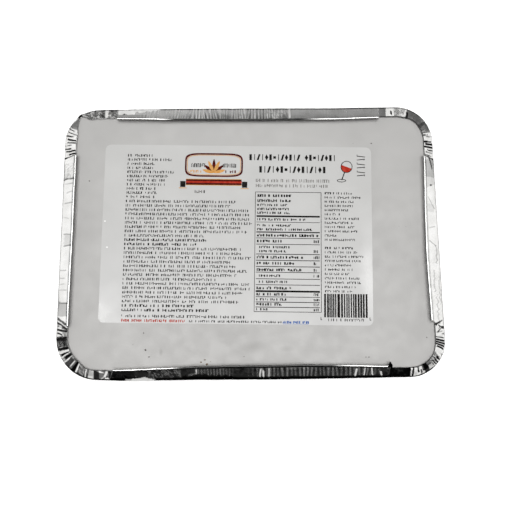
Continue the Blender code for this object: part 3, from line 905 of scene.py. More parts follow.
def make_sheet(outline, rings, top, thickness, place=None):
    """Points and faces of a thin closed sheet under the height top(x, y).

    Rings run from the middle of the lower face out to the edge and back to the middle
    of the upper face. A fan closes each middle.
    """
    shares = np.linspace(0, 1, rings + 1)[1:]
    shares = np.concatenate([shares, shares[::-1]])
    flat = np.concatenate([(shares[:, None, None] * outline).reshape(-1, 2), np.zeros((2, 2))])
    flat = flat if place is None else place(flat)
    heights = top(flat[:, 0], flat[:, 1])
    count = len(outline)
    heights[: rings * count] -= thickness
    heights[-2] -= thickness
    faces = grid_faces(2 * rings, count, False, True)
    lower_fan = fan_faces(np.arange(count), 2 * rings * count, True)
    upper_fan = fan_faces((2 * rings - 1) * count + np.arange(count), 2 * rings * count + 1, False)
    faces = faces[:, ::-1].tolist() + lower_fan.tolist() + upper_fan.tolist()
    return np.column_stack([flat, heights]), faces


lid_walk = Rim(LID_PLACES)
lid_outline = lid_walk.outline(LID_INSET - LID_POINT_OUT * crease_share(lid_walk))
lid_points, lid_faces = make_sheet(lid_outline, LID_RINGS, lid_height, LID_THICKNESS)
board_lid = make_piece("lid_sheet", lid_points, lid_faces, "board", "board_lid")

# %% [markdown]
# ## The label
# The label is a 6 by 4 inch thermal label, stuck on by hand a little crooked. It lies on
# the lid's dome. Its own places are measured right and down from its top left corner, as
# a printer does, and one function takes them to the model.

# %% Make the label
LABEL_LENGTH = 152.4
LABEL_WIDTH = 101.6
LABEL_CENTRE = np.array([-7.1, 3.5])
LABEL_TURN = np.radians(-1.24)
LABEL_RADIUS = 3.0
LABEL_THICKNESS = 0.1
LABEL_PLACES = 360
LABEL_RINGS = 60


def label_place(flat):
    """From places about the label's middle to the model: turn, then shift."""
    along = np.array([np.cos(LABEL_TURN), np.sin(LABEL_TURN)])
    upward = np.array([-along[1], along[0]])
    return LABEL_CENTRE + flat[..., :1] * along + flat[..., 1:] * upward


def label_height(x, y):
    """The label's upper face, which follows the lid with a few low blisters."""
    blister = np.clip(eased_noise(x / 9.0 + 30, y / 9.0 + 30, 64, 201) - 0.35, 0, 1)
    return lid_height(x, y) + LABEL_THICKNESS + 0.06 * blister


def from_label(right, down):
    """From places right and down of the label's corner to the model's x and y."""
    flat = np.stack(np.broadcast_arrays(right - LABEL_LENGTH / 2, LABEL_WIDTH / 2 - down), -1)
    return label_place(flat)


label_outline = rounded_outline(LABEL_LENGTH / 2, LABEL_WIDTH / 2, LABEL_RADIUS, LABEL_PLACES)
label_sheet = make_sheet(label_outline, LABEL_RINGS, label_height, LABEL_THICKNESS, label_place)
label = make_piece("label_sheet", *label_sheet, "label_paper", "label")
label_middle = (label_low + label_high) / 2 / MM
print("the model's label is centred on", round(label_middle.x, 1), round(label_middle.y, 1))

# %% [markdown]
# ## Ink
# Print has a thickness too small to see, but as thin closed slabs on the paper it keeps
# sharp edges at any distance, with no picture file. Each colour of ink is one mesh. It
# takes four-cornered patches, many at once, and strips between two curves.

# %% Collect patches and strips of ink
INK_LIFT = 0.012
INK_THICKNESS = 0.02
INK_STEP = 0.004
RULE_STEP = 3.0


class Ink:
    """One colour of print: closed slabs that lie on the label."""

    def __init__(self, name, layer=0):
        self.name = name
        self.lift = INK_LIFT + INK_STEP * layer
        self.points = []
        self.faces = []
        self.count = 0

    def add(self, flat, faces):
        """Lift flat places on to the label and keep them with their faces."""
        place = from_label(flat[:, 0], flat[:, 1])
        height = label_height(place[:, 0], place[:, 1]) + self.lift
        half = len(flat) // 2
        height[half:] += INK_THICKNESS
        self.points.append(np.column_stack([place, height]))
        self.faces.append(np.asarray(faces) + self.count)
        self.count += len(flat)

    def patches(self, corners):
        """Four-cornered slabs from an array of patches, corners anticlockwise seen above."""
        corners = np.asarray(corners, float)
        number = len(corners)
        flat = np.concatenate([corners.reshape(-1, 2)] * 2)
        low = np.arange(4 * number).reshape(-1, 4)
        high = low + 4 * number
        walls = [np.stack([low[:, i], low[:, i - 3], high[:, i - 3], high[:, i]], -1) for i in range(4)]
        self.add(flat, np.concatenate([low[:, ::-1], high] + walls))

    def blocks(self, left, top, right, bottom):
        """Upright rectangles given by arrays of their four edges."""
        left, top, right, bottom = np.broadcast_arrays(left, top, right, bottom)
        across = np.stack([left, right, right, left], -1)
        down = np.stack([bottom, bottom, top, top], -1)
        self.patches(np.stack([across, down], -1).reshape(-1, 4, 2))

    def rule(self, left, top, right, bottom):
        """A long rule, cut into short steps so that it follows the dome."""
        level = right - left > bottom - top
        steps = int(max(right - left, bottom - top) / RULE_STEP) + 2
        along = np.linspace(left, right, steps) if level else np.linspace(top, bottom, steps)
        upper, lower = ([along, 0 * along + top], [along, 0 * along + bottom])
        if not level:
            upper, lower = ([0 * along + right, along], [0 * along + left, along])
        self.strip(np.stack(upper, -1), np.stack(lower, -1))

    def strip(self, upper, lower):
        """One slab between two curves with as many points each, both from left to right."""
        number = len(upper)
        flat = np.concatenate([lower, upper, lower, upper])
        low = np.arange(number)
        rows = np.stack([low[:-1], low[1:], low[1:] + number, low[:-1] + number], -1)
        high = rows + 2 * number
        front = np.stack([low[:-1], low[1:], low[1:] + 2 * number, low[:-1] + 2 * number], -1)
        back = (front + number)[:, ::-1]
        left = [[number, 0, 2 * number, 3 * number]]
        right = [[number - 1, 2 * number - 1, 4 * number - 1, 3 * number - 1]]
        self.add(flat, np.concatenate([rows[:, ::-1], high, front, back, left, right]))

    def finish(self):
        """Make the mesh of everything this ink has printed."""
        points = np.concatenate(self.points)
        faces = np.concatenate(self.faces)
        return make_piece(self.name, points, faces.tolist(), "label_paper", None, smooth=False)


black = Ink("print_black")
grey = Ink("print_grey")
red = Ink("print_red")
blue = Ink("print_blue")
maroon = Ink("print_maroon")
gold = Ink("print_gold", layer=8)
print("inks ready")

# %% [markdown]
# ## Rows of marks
# The small print is too small to read, so it is drawn as what the eye sees of it: rows
# of short upright marks with small dashes between some of them, in groups like words. The
# widths come from a seeded draw, so that every run gives the same label.

# %% Print the rows of marks
draw = np.random.default_rng(7)


def mark_row(ink, left, right, down, height=1.5, stroke=0.45, gap=0.8):
    """Upright marks from left to right, and dashes at three levels in most of the gaps."""
    number = int((right - left) / (stroke + gap) * 1.4) + 2
    widths = stroke * draw.uniform(0.6, 1.5, number)
    gaps = gap * draw.uniform(0.5, 1.5, number)
    gaps[draw.random(number) < 0.14] += 0.6 * height
    starts = left + np.concatenate([[0], np.cumsum(widths + gaps)[:-1]])
    keep = starts + widths < right
    starts, widths, gaps = starts[keep], widths[keep], gaps[keep]
    number = len(starts)
    tops = down - height / 2 + height * 0.3 * draw.random(number) ** 3
    bottoms = down + height / 2 - height * 0.25 * (draw.random(number) < 0.1)
    ink.blocks(starts, tops, starts + widths, bottoms)
    has_dash = (draw.random(number) < 0.6) & (gaps < 1.5 * gap)
    dash_starts = (starts + widths + 0.2 * gaps)[has_dash]
    levels = down + height * draw.choice([-0.36, 0.0, 0.36], has_dash.sum())
    half = 0.45 * stroke
    ink.blocks(dash_starts, levels - half, dash_starts + 0.6 * gaps[has_dash], levels + half)


# The first row's place down, the distance between rows, and where each row ends
NARROW_FIRST = 6.2
NARROW_PITCH = 2.4231
NARROW_ENDS = [27.8, 38.8, 28.0, 27.5, 40.1, 35.6, 35.2, 35.2, 30.2, 30.3, 29.2]
WIDE_FIRST = 32.9
WIDE_PITCH = 2.46
WIDE_ENDS = [76, 72, 84, 84, 85, 84, 78, 82, 57, 60, 54, 80, 79]
WIDE_ENDS += [84, 74, 76, 82, 76, 65, 84, 84, 79, 71, 78, 53, 62]
BOLD_ROWS = (9, 10, 24, 25)
LAST_ROWS = (97.7, 100.2)

for number, end in enumerate(NARROW_ENDS):
    mark_row(black, 13.0, end, NARROW_FIRST + NARROW_PITCH * number)
for number, end in enumerate(WIDE_ENDS):
    bold = number in BOLD_ROWS
    mark_row(black, 12.8, end, WIDE_FIRST + WIDE_PITCH * number, stroke=0.62 if bold else 0.45)
mark_row(black, 12.8, 81.3, LAST_ROWS[0])
mark_row(red, 12.8, 48.7, LAST_ROWS[1], stroke=0.5, gap=0.5)
mark_row(black, 50.4, 101.8, LAST_ROWS[1], height=1.2)
mark_row(blue, 102.3, 116.7, LAST_ROWS[1], height=1.4, stroke=0.5, gap=0.4)
blue.rule(102.3, LAST_ROWS[1] + 0.9, 116.7, LAST_ROWS[1] + 1.05)
print("marks so far", black.count // 8)

# %% [markdown]
# ## The table and the bars
# To the right are a framed table of facts, a column of small print and a block of bars.
# The table is a frame, rules of three weights, rows of marks, and a short mark at the
# right end of most rows.

# %% Print the table, the column and the bars
TABLE = (86.2, 26.7, 123.8, 94.7)
RULE = 0.3
# Place down, right end, weight, and whether a short mark ends the row
TABLE_ROWS = [
    (28.9, 106.5, 2, 0), (31.8, 106.5, 2, 0), (34.3, 103.7, 1, 0), (36.6, 105.9, 1, 0),
    (38.8, 106.0, 1, 0), (42.6, 115.6, 1, 0), (46.0, 107.1, 1, 0), (48.3, 118.4, 1, 0),
    (51.7, 121.9, 2, 0), (55.0, 102.1, 2, 1), (58.4, 106.0, 1, 0), (60.7, 103.8, 1, 1),
    (64.1, 114.2, 2, 1), (67.5, 110.0, 2, 1), (71.2, 112.8, 2, 1), (74.5, 102.7, 1, 1),
    (77.9, 105.0, 1, 0), (81.4, 107.8, 2, 0), (84.8, 104.5, 2, 1), (87.7, 104.5, 1, 1),
    (90.4, 101.2, 2, 1), (93.2, 94.5, 1, 1),
]
TABLE_RULES = [
    (40.8, 0.70), (44.2, 0.2), (49.9, 0.45), (53.3, 0.25), (56.8, 0.25), (62.4, 0.3),
    (65.9, 0.3), (69.4, 0.3), (72.6, 0.25), (76.3, 0.25), (79.6, 0.25), (83.2, 0.75),
    (86.3, 0.25), (89.2, 0.3), (92.0, 0.3),
]
INDENTED = (58.4, 60.7, 74.5, 77.9)
left, top, right, bottom = TABLE
black.rule(left, top, right, top + RULE)
black.rule(left, bottom - RULE, right, bottom)
black.rule(left, top + RULE, left + RULE, bottom - RULE)
black.rule(right - RULE, top + RULE, right, bottom - RULE)
for down, weight in TABLE_RULES:
    black.rule(left + 0.9, down - 0.7 * weight, right - 0.9, down + 0.7 * weight)
for down, end, weight, has_end in TABLE_ROWS:
    start = left + (2.6 if down in INDENTED else 1.3)
    mark_row(black, start, end, down, 1.1 + 0.2 * weight, 0.36 + 0.2 * weight, gap=0.68)
    if has_end:
        mark_row(black, 119.4, 122.6, down, height=1.6, stroke=0.5, gap=0.4)

COLUMN_LEFT = 125.7
COLUMN_PITCH = 2.43
# Each paragraph of the column: its first row's place down, and where its rows end
COLUMN = {
    27.1: [141.7, 146.8, 143.4, 141.7, 139.4, 136, 145, 142.1, 142.1, 146, 133, 142.6],
    58.5: [142, 144.2, 147, 146.4, 140.2, 141.3, 139.6, 145.7, 146.2, 142.9, 140.6],
}
for first, ends in COLUMN.items():
    for number, end in enumerate(ends):
        stroke = 0.55 if number == 0 else 0.42
        mark_row(black, COLUMN_LEFT, end, first + COLUMN_PITCH * number, 1.25, stroke)

BARS = (125.2, 84.2, 149.6, 97.3)
BAR_COUNT = 18
bar_modules = draw.choice([1.4, 2.4, 3.4, 4.8], 2 * BAR_COUNT)
bar_modules[1::2] = draw.choice([1.0, 1.3, 2.0], BAR_COUNT)
bar_edges = np.concatenate([[0], np.cumsum(bar_modules)])
bar_edges = BARS[0] + bar_edges / bar_edges[-1] * (BARS[2] - BARS[0])
for start, end in zip(bar_edges[0:-1:2], bar_edges[1::2]):
    black.rule(start, BARS[1], end, BARS[3])
mark_row(black, 127.5, 147.5, 98.6, stroke=0.4)
mark_row(black, 123.2, 124.4, 97.9, height=1.8, stroke=0.5)
mark_row(black, 150.4, 151.6, 97.9, height=1.8, stroke=0.5)
print("marks in all", black.count // 8)

# %% [markdown]
# ## Headings and ornaments
# Two heavy rows stand for the heading: friezes of solid posts, lozenges and slanted bars
# with thin posts between, in two groups. A plain framed panel with leaves, over a band,
# fills the space beside them, and a small drinking glass and a turned row of marks fill
# the corner.

# %% Print the headings and ornaments
# Each shape as right and down places of its four corners, in shares of the row's height
POST = [(-0.19, 0.5), (0.19, 0.5), (0.19, -0.5), (-0.19, -0.5)]
THIN_POST = [(-0.06, 0.5), (0.06, 0.5), (0.06, -0.5), (-0.06, -0.5)]
LOZENGE = [(-0.27, 0.0), (0.0, 0.5), (0.27, 0.0), (0.0, -0.5)]
SLANTED_BAR = [(-0.30, 0.5), (0.0, 0.5), (0.30, -0.5), (0.0, -0.5)]
BLOCK = [(-0.21, 0.21), (0.21, 0.21), (0.21, -0.21), (-0.21, -0.21)]
FRIEZE = np.array([
    POST, THIN_POST, SLANTED_BAR, THIN_POST, LOZENGE, POST, BLOCK, THIN_POST, SLANTED_BAR, LOZENGE,
])


def heading_row(left, right, down, height, gap_at=None):
    """The frieze's shapes by turns along a row, evenly spaced, with a gap or none."""
    number = int((right - left) / (0.62 * height))
    middles = left + (np.arange(number) + 0.5) * (right - left) / number
    shapes = FRIEZE[np.arange(number) % len(FRIEZE)] * height
    patches = shapes + np.stack([middles, 0 * middles + down], -1)[:, None, :]
    black.patches(patches if gap_at is None else np.delete(patches, gap_at, 0))


heading_row(82.2, 132.5, 6.5, 3.6, gap_at=13)
heading_row(87.9, 126.7, 13.6, 3.8)
mark_row(grey, 86.5, 128.7, 20.1, height=1.9, stroke=0.34, gap=0.6)
mark_row(grey, 86.5, 127.5, 23.1, height=1.8, stroke=0.34, gap=0.6)


def turned(places, middle, angle):
    """Places turned about a middle, clockwise as seen on the label."""
    cos, sin = np.cos(angle), np.sin(angle)
    return middle + places @ np.array([[cos, sin], [-sin, cos]])


def ring_strip(ink, middle, half_length, half_width, line, power=2.0, tilt=0.0):
    """A line along a rounded ring |x/a|^p + |y/b|^p = 1, turned by its tilt."""
    angle = np.linspace(0.0, 2 * np.pi, 97)
    circle = np.stack([np.cos(angle), np.sin(angle)], -1)
    outline = np.sign(circle) * np.abs(circle) ** (2 / power)
    outer = outline * [half_length, half_width]
    inner = outline * [half_length - line, half_width - line]
    ink.strip(turned(outer, middle, tilt), turned(inner, middle, tilt))


PANEL_MIDDLE = np.array([62.4, 11.4])
BAND_TOP = 19.6
BAND_ENDS = (46.6, 78.4)
ring_strip(maroon, PANEL_MIDDLE, 16.6, 7.0, 0.95, power=5.0)
ring_strip(gold, PANEL_MIDDLE, 15.4, 5.9, 0.3, power=5.0)


def leaf(ink, root, length, width, angle):
    """A leaf: half width w sin(pi t) along its length, turned about its root."""
    t = np.linspace(0.0, 1.0, 13)
    half = width / 2 * np.sin(np.pi * t) ** 0.8 + 0.02
    upper = turned(np.stack([t * length, -half], -1), root, angle)
    lower = turned(np.stack([t * length, half], -1), root, angle)
    ink.strip(upper, lower)


LEAF_ROOT = PANEL_MIDDLE + [0, 4.6]
for number in range(-3, 4):
    turn = np.radians(-90 + 25 * number)
    leaf(gold if number % 2 else maroon, LEAF_ROOT, 8.2 - 0.5 * abs(number), 1.9, turn)
for mark_left in (49.5, 67.5):
    mark_row(black, mark_left, mark_left + 8.0, 11.6, height=2.4, stroke=0.42, gap=0.5)
for ink, mark_left in ((gold, 49.0), (maroon, 69.0)):
    mark_row(ink, mark_left, mark_left + 7.0, 15.2, height=1.6, stroke=0.6)

# The band's stripes: ink, and where each starts and ends below the band's top
STRIPES = [(gold, 0.0, 0.3), (maroon, 0.3, 1.3), (red, 1.3, 2.3), (maroon, 2.3, 3.5), (gold, 3.5, 3.8)]
for ink, top_at, bottom_at in STRIPES:
    ink.rule(BAND_ENDS[0], BAND_TOP + top_at, BAND_ENDS[1], BAND_TOP + bottom_at)
black.blocks(np.array([43.4, 78.6]), BAND_TOP + 1.4, np.array([46.4, 81.6]), BAND_TOP + 4.9)
gold.blocks(np.array([42.6, 77.8]), BAND_TOP + 5.2, np.array([47.2, 82.4]), BAND_TOP + 5.6)
mark_row(black, 51.8, 58.7, 27.0, height=1.7, stroke=0.5)

GLASS = np.array([138.3, 11.6])
GLASS_TILT = np.radians(20)
ring_strip(black, GLASS, 3.35, 3.55, 0.4, tilt=GLASS_TILT)
bowl = np.linspace(0.0, 0.5, 25) * 2 * np.pi
bowl_low = turned(np.stack([-3.0 * np.cos(bowl), 3.2 * np.sin(bowl)], -1), GLASS, GLASS_TILT)
bowl_high = turned(np.stack([-3.0 * np.cos(bowl), 0 * bowl - 0.05], -1), GLASS, GLASS_TILT)
red.strip(bowl_high, bowl_low)
stem = turned(np.array([[-0.28, 3.4], [0.28, 3.4], [0.28, 8.2], [-0.28, 8.2]]), GLASS, GLASS_TILT)
black.patches([stem[[3, 2, 1, 0]]])
foot_at = GLASS + turned(np.array([0.0, 8.6]), 0, GLASS_TILT)
ring_strip(black, foot_at, 2.6, 0.95, 0.38)

# The turned row: leaning lines, each with a short stroke at one end or the other
TURNED_ROW_LEFT = 144.2
TURNED_ROW_PLACES = np.linspace(5.2, 16.8, 6)
for number, down in enumerate(TURNED_ROW_PLACES):
    lean = 0.5 * (-1) ** number
    line = np.array([[0, -0.24], [4.6, -0.24 + lean], [4.6, 0.2 + lean], [0, 0.2]])
    black.patches([(line + [TURNED_ROW_LEFT, down])[::-1]])
    stroke_left = TURNED_ROW_LEFT + 4.0 * (number % 2)
    black.blocks(stroke_left, down - 0.9, stroke_left + 0.3, down + 0.2)

inks = {ink.name: ink.finish() for ink in (black, grey, red, blue, maroon, gold)}

# %% [markdown]
# ## Specks and crumbs
# A used lid has a few specks on it. Each is a small uneven lump, made by pushing the
# points of a low dome in and out, pressed a little into the board.

# %% Scatter the specks and crumbs
# Place right and up from the middle, size across, and 0 for dark or 1 for brown
SPECKS = [
    (-91.2, 34.6, 1.0, 0), (-59.0, -51.6, 1.0, 0), (-57.9, -60.9, 1.6, 0), (-55.9, -64.7, 1.2, 0),
    (-64.8, -57.8, 0.6, 0), (-3.7, -65.0, 0.8, 0), (63.3, -65.9, 0.8, 0), (65.0, -65.9, 0.9, 0),
    (97.2, -55.6, 0.9, 0), (70.5, 55.2, 1.1, 0), (60.0, 55.2, 0.5, 0), (84.5, 6.6, 0.5, 0),
    (88.4, 6.5, 0.5, 0), (-27.3, -67.8, 1.2, 1), (-25.2, -66.6, 1.1, 1), (-24.0, -69.0, 1.6, 1),
    (-22.0, -67.6, 0.6, 1),
]
SPECK_SIDES = 10
SPECK_SINK = 0.05


def make_specks(name, kind):
    """Lumps of height h(1 - r^2), with uneven rims, one for each place of this kind."""
    chosen = np.array([speck[:3] for speck in SPECKS if speck[3] == kind])
    uneven = np.random.default_rng(40 + kind)
    angle = np.arange(SPECK_SIDES) / SPECK_SIDES * 2 * np.pi
    shares = np.array([1.0, 0.6])[:, None]
    rise = np.array([0.0, 0.16])[:, None]
    reach = uneven.uniform(0.6, 1.15, (len(chosen), 1, SPECK_SIDES))
    across, up, size = (chosen[:, number, None, None] for number in range(3))
    radius = size / 2 * shares * reach
    x = across + radius * np.cos(angle)
    y = up + radius * np.sin(angle) * 0.8
    z = lid_height(x, y) - SPECK_SINK + size * rise
    rings = np.stack([x, y, z], -1).reshape(len(chosen), -1, 3)
    ground = lid_height(chosen[:, 0], chosen[:, 1])
    middle = np.column_stack([chosen[:, :2], ground + 0.2 * chosen[:, 2]])
    under = np.column_stack([chosen[:, :2], ground - 2 * SPECK_SINK])
    points = np.concatenate([rings, middle[:, None], under[:, None]], 1)
    each = points.shape[1]
    outer = np.arange(SPECK_SIDES)
    faces = grid_faces(2, SPECK_SIDES, False, True)[:, ::-1].tolist()
    faces += fan_faces(outer + SPECK_SIDES, each - 2, False).tolist()
    faces += fan_faces(outer, each - 1, True).tolist()
    starts = each * np.arange(len(chosen))
    every = [[corner + start for corner in face] for start in starts for face in faces]
    return make_piece(name, points.reshape(-1, 3), every, "board", None)


dark_specks = make_specks("dark_specks", 0)
crumbs = make_specks("crumbs", 1)
FLECK_RIGHT = np.array([1.4, 3.2])
FLECK_DOWN = np.array([44.7, 59.5])
white = Ink("white_flecks")
white.blocks(FLECK_RIGHT - 0.5, FLECK_DOWN - 0.35, FLECK_RIGHT + 0.5, FLECK_DOWN + 0.35)
white_flecks = white.finish()

# %% [markdown]
# ## Finishes
# Each finish is a small tree of nodes on the Principled shader. Noise on Object
# coordinates changes colour and roughness a little from place to place, because no real
# sheet is even. A few helpers keep each tree short.

# %% Helpers for finishes


def start_finish(name):
    """A new material with its shader and its Object coordinates."""
    material = bpy.data.materials.new(name)
    material.use_nodes = True
    nodes = material.node_tree.nodes
    shader = nodes["Principled BSDF"]
    coordinates = nodes.new("ShaderNodeTexCoord").outputs["Object"]
    return material, shader, coordinates


def put(tree, socket, value):
    """Link a socket to the input, or set the input to a value."""
    if isinstance(value, bpy.types.NodeSocket):
        tree.links.new(value, socket)
    else:
        socket.default_value = value


def add_node(material, kind, inputs, **settings):
    """A node with its settings, and with its inputs set or linked."""
    node = material.node_tree.nodes.new(kind)
    for key, value in settings.items():
        setattr(node, key, value)
    for key, value in inputs.items():
        put(material.node_tree, node.inputs[key], value)
    return node


def noise(material, coordinates, size, detail=3.0, stretch=(1, 1, 1)):
    """Noise of 0 to 1 whose waves are about size millimetres long."""
    spread = add_node(material, "ShaderNodeMapping", {"Vector": coordinates, "Scale": stretch})
    inputs = {"Vector": spread.outputs[0], "Scale": 1 / (size * MM), "Detail": detail}
    return add_node(material, "ShaderNodeTexNoise", inputs).outputs["Fac"]


def calculate(material, operation, *values, vector=False):
    """One mathematical node, on numbers or on vectors."""
    kind = "ShaderNodeVectorMath" if vector else "ShaderNodeMath"
    node = add_node(material, kind, dict(enumerate(values)), operation=operation)
    return node.outputs["Value"] if operation == "LENGTH" else node.outputs[0]


def span(material, value, low, high, start=0.35, end=0.65):
    """The value between start and end, taken to the range from low to high."""
    inputs = {"Value": value, "From Min": start, "From Max": end, "To Min": low, "To Max": high}
    return add_node(material, "ShaderNodeMapRange", inputs).outputs[0]


def blend(material, share, first, second):
    """The first colour at share 0 and the second at share 1."""
    node = add_node(material, "ShaderNodeMix", {"Factor": share}, data_type="RGBA")
    for number, colour in ((6, first), (7, second)):
        given = colour if isinstance(colour, bpy.types.NodeSocket) else (*colour, 1)
        put(material.node_tree, node.inputs[number], given)
    return node.outputs[2]


def raise_surface(material, shader, height, distance, strength):
    """Bump on the shader, with the distance in millimetres."""
    inputs = {"Height": height, "Distance": distance * MM, "Strength": strength}
    bump = add_node(material, "ShaderNodeBump", inputs)
    material.node_tree.links.new(bump.outputs[0], shader.inputs["Normal"])


def feed(material, shader, **inputs):
    """Link or set the shader's inputs, whose names have _ for a space."""
    for key, value in inputs.items():
        put(material.node_tree, shader.inputs[key.replace("_", " ")], value)


def dress(material, *pieces):
    """Give the material to the pieces."""
    for piece in pieces:
        piece.data.materials.clear()
        piece.data.materials.append(material)
    print(material.name, "on", ", ".join(piece.name for piece in pieces))


# %% [markdown]
# ## Foil, board, paper and ink
# Foil is a metal with a low, uneven roughness. Where the rim's tone is below 0 its colour
# turns dark, painted shade for pleats, hems and edges and the dark room they mirror, and
# where it is above 0 it turns pale, rough and less metallic, a painted glint. The board is
# a white-coated card, slightly grey, that holds smudges. The label is made paler along its
# near edge, which is painted light, and it shines near its left and right edges. The inks
# are matt.

# %% Finish the foil
foil, shader, place = start_finish("foil")
cloud = noise(foil, place, 6.0)
fine = noise(foil, place, 0.9, detail=2.0)
tone = blend(foil, span(foil, cloud, 0, 1), (0.80, 0.80, 0.79), (0.92, 0.92, 0.915))
rough = span(foil, noise(foil, place, 3.0), 0.09, 0.22)
# The rim's tone is painted light: below 0 painted shade darkens the colour, above 0 a painted glint
# makes the foil pale, rough and less metallic
painted_light_tone = add_node(foil, "ShaderNodeAttribute", {}, attribute_name="tone").outputs["Fac"]
dark = span(foil, painted_light_tone, 1.0, 0.0, -0.9, 0.0)
bright = span(foil, painted_light_tone, 0.0, 1.0, 0.0, 1.0)
tone = blend(foil, dark, tone, (0.012, 0.012, 0.012))
rough = calculate(foil, "MULTIPLY_ADD", bright, 0.6, rough)
metallic = span(foil, bright, 1.0, 0.45, 0.0, 1.0)
feed(foil, shader, Base_Color=tone, Roughness=rough, Metallic=metallic)
raise_surface(foil, shader, fine, 0.02, 0.6)
dress(foil, folded_rim, pan)

# %% Finish the board
board, shader, place = start_finish("coated_board")
cloud = noise(board, place, 45.0)
tone = blend(board, span(board, cloud, 0, 1), (0.412, 0.408, 0.402), (0.446, 0.442, 0.435))


def patch_share(material, place, middle, reach, size=4.0):
    """1 in a soft, ragged patch and 0 outside it."""
    centre = (middle[0] * MM, middle[1] * MM, LID_TOP * MM)
    inverse = (1 / (reach[0] * MM), 1 / (reach[1] * MM), 0)
    away = calculate(material, "SUBTRACT", place, centre, vector=True)
    scaled = calculate(material, "MULTIPLY", away, inverse, vector=True)
    distance = calculate(material, "LENGTH", scaled, vector=True)
    ragged = calculate(material, "ADD", distance, noise(material, place, size))
    return span(material, ragged, 1.0, 0.0, 0.6, 1.5)


# Each smudge's middle, its reach along x and y, and how strong it is
SMUDGES = [
    ((1.9, -59.6), (9.0, 4.0), 0.4), ((20.0, -61.0), (5.0, 2.0), 0.3), ((-49.3, -62.1), (1.2, 2.6), 0.4),
]
SMUDGE_COLOUR = (0.20, 0.195, 0.185)
for middle, reach, strength in SMUDGES:
    share = calculate(board, "MULTIPLY", patch_share(board, place, middle, reach), strength)
    tone = blend(board, share, tone, SMUDGE_COLOUR)
feed(board, shader, Base_Color=tone, Roughness=span(board, noise(board, place, 8.0), 0.42, 0.6))
raise_surface(board, shader, noise(board, place, 0.5, detail=4.0), 0.01, 0.5)
dress(board, board_lid)

# %% Finish the label
paper, shader, place = start_finish("label_paper")
cloud = noise(paper, place, 30.0)
tone = blend(paper, span(paper, cloud, 0, 1), (0.500, 0.500, 0.494), (0.530, 0.530, 0.524))
# Painted light: the paper is blended paler towards its near edge, a brightening that stands for light
# and not for a colour of the paper
level = add_node(paper, "ShaderNodeSeparateXYZ", {0: place}).outputs["Y"]
tone = blend(paper, span(paper, level, 0.0, 0.6, 0.026, -0.034), tone, (0.60, 0.60, 0.60))
rough = span(paper, noise(paper, place, 12.0), 0.50, 0.62)
# The middle of each shiny patch, and its reach along x and y
GLARES = [((-82.0, -41.0), (15.0, 21.0)), ((67.0, -22.0), (7.0, 36.0))]
GLARE_ROUGHNESS = 0.2
for middle, reach in GLARES:
    share = patch_share(paper, place, middle, reach, 9.0)
    rough = span(paper, share, rough, GLARE_ROUGHNESS, 0.0, 1.0)
feed(paper, shader, Base_Color=tone, Roughness=rough)
raise_surface(paper, shader, noise(paper, place, 0.4, detail=4.0), 0.006, 0.5)
dress(paper, label)

# %% Finish the inks, the specks and the crumbs


def make_matt(name, colour, faded, size):
    """A matt finish whose colour runs between full and faded in small patches."""
    material, shader, place = start_finish(name)
    share = span(material, noise(material, place, size), 0, 1)
    tone = blend(material, share, colour, faded)
    feed(material, shader, Base_Color=tone, Roughness=0.55, Specular_IOR_Level=0.02)
    return material


# Each ink's full and faded colour
INK_COLOURS = {
    "print_black": ((0.006, 0.005, 0.005), (0.018, 0.017, 0.016)),
    "print_grey": ((0.09, 0.085, 0.08), (0.2, 0.19, 0.18)),
    "print_red": ((0.36, 0.022, 0.010), (0.46, 0.050, 0.030)),
    "print_blue": ((0.03, 0.09, 0.33), (0.06, 0.15, 0.42)),
    "print_maroon": ((0.05, 0.006, 0.005), (0.10, 0.014, 0.011)),
    "print_gold": ((0.55, 0.26, 0.06), (0.66, 0.36, 0.13)),
}
for name, (colour, faded) in INK_COLOURS.items():
    dress(make_matt(name, colour, faded, 1.5), inks[name])
dress(make_matt("speck", (0.06, 0.055, 0.05), (0.14, 0.13, 0.12), 0.5), dark_specks)
dress(make_matt("crumb", (0.055, 0.038, 0.025), (0.22, 0.15, 0.09), 0.5), crumbs)
dress(make_matt("fleck", (0.86, 0.86, 0.85), (0.92, 0.92, 0.91), 0.5), white_flecks)

# %% [markdown]
# ## Floor and light
# The floor is a pale table. The light is a soft sky with a bright top, a dim ring below
# it, white cards low at the left and right, and a dark near side. Foil shows what it
# mirrors, so the sky's brightness by direction matters more than any one lamp. A wide
# white floor would wash out the pan's walls, so the foil doesn't mirror it. Instead the
# sky has light and dim patches below the level, like a table with things on it. Seen
# directly, the sky is one plain tone.

# %% Lay the floor
FLOOR_REACH = 1500.0
# Just below the tray's base, so that the two faces don't share a plane
FLOOR_HEIGHT = -0.05
floor_mesh = bpy.data.meshes.new("floor")
floor_corners = np.column_stack([SIGN_X * FLOOR_REACH, SIGN_Y * FLOOR_REACH, [FLOOR_HEIGHT] * 4]) * MM
floor_mesh.from_pydata(floor_corners.tolist(), [], [(0, 1, 2, 3)])
floor = bpy.data.objects.new("floor", floor_mesh)
scene.collection.objects.link(floor)
floor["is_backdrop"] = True
floor.visible_glossy = False
table, shader, place = start_finish("pale_table")
cloud = span(table, noise(table, place, 60.0), 0, 1)
tone = blend(table, cloud, (0.88, 0.88, 0.88), (0.91, 0.91, 0.91))
feed(table, shader, Base_Color=tone, Roughness=0.7)
feed(table, shader, Emission_Color=(1, 1, 1, 1), Emission_Strength=0.3)
floor_mesh.materials.append(table)
print("the floor reaches", FLOOR_REACH, "mm to each side")

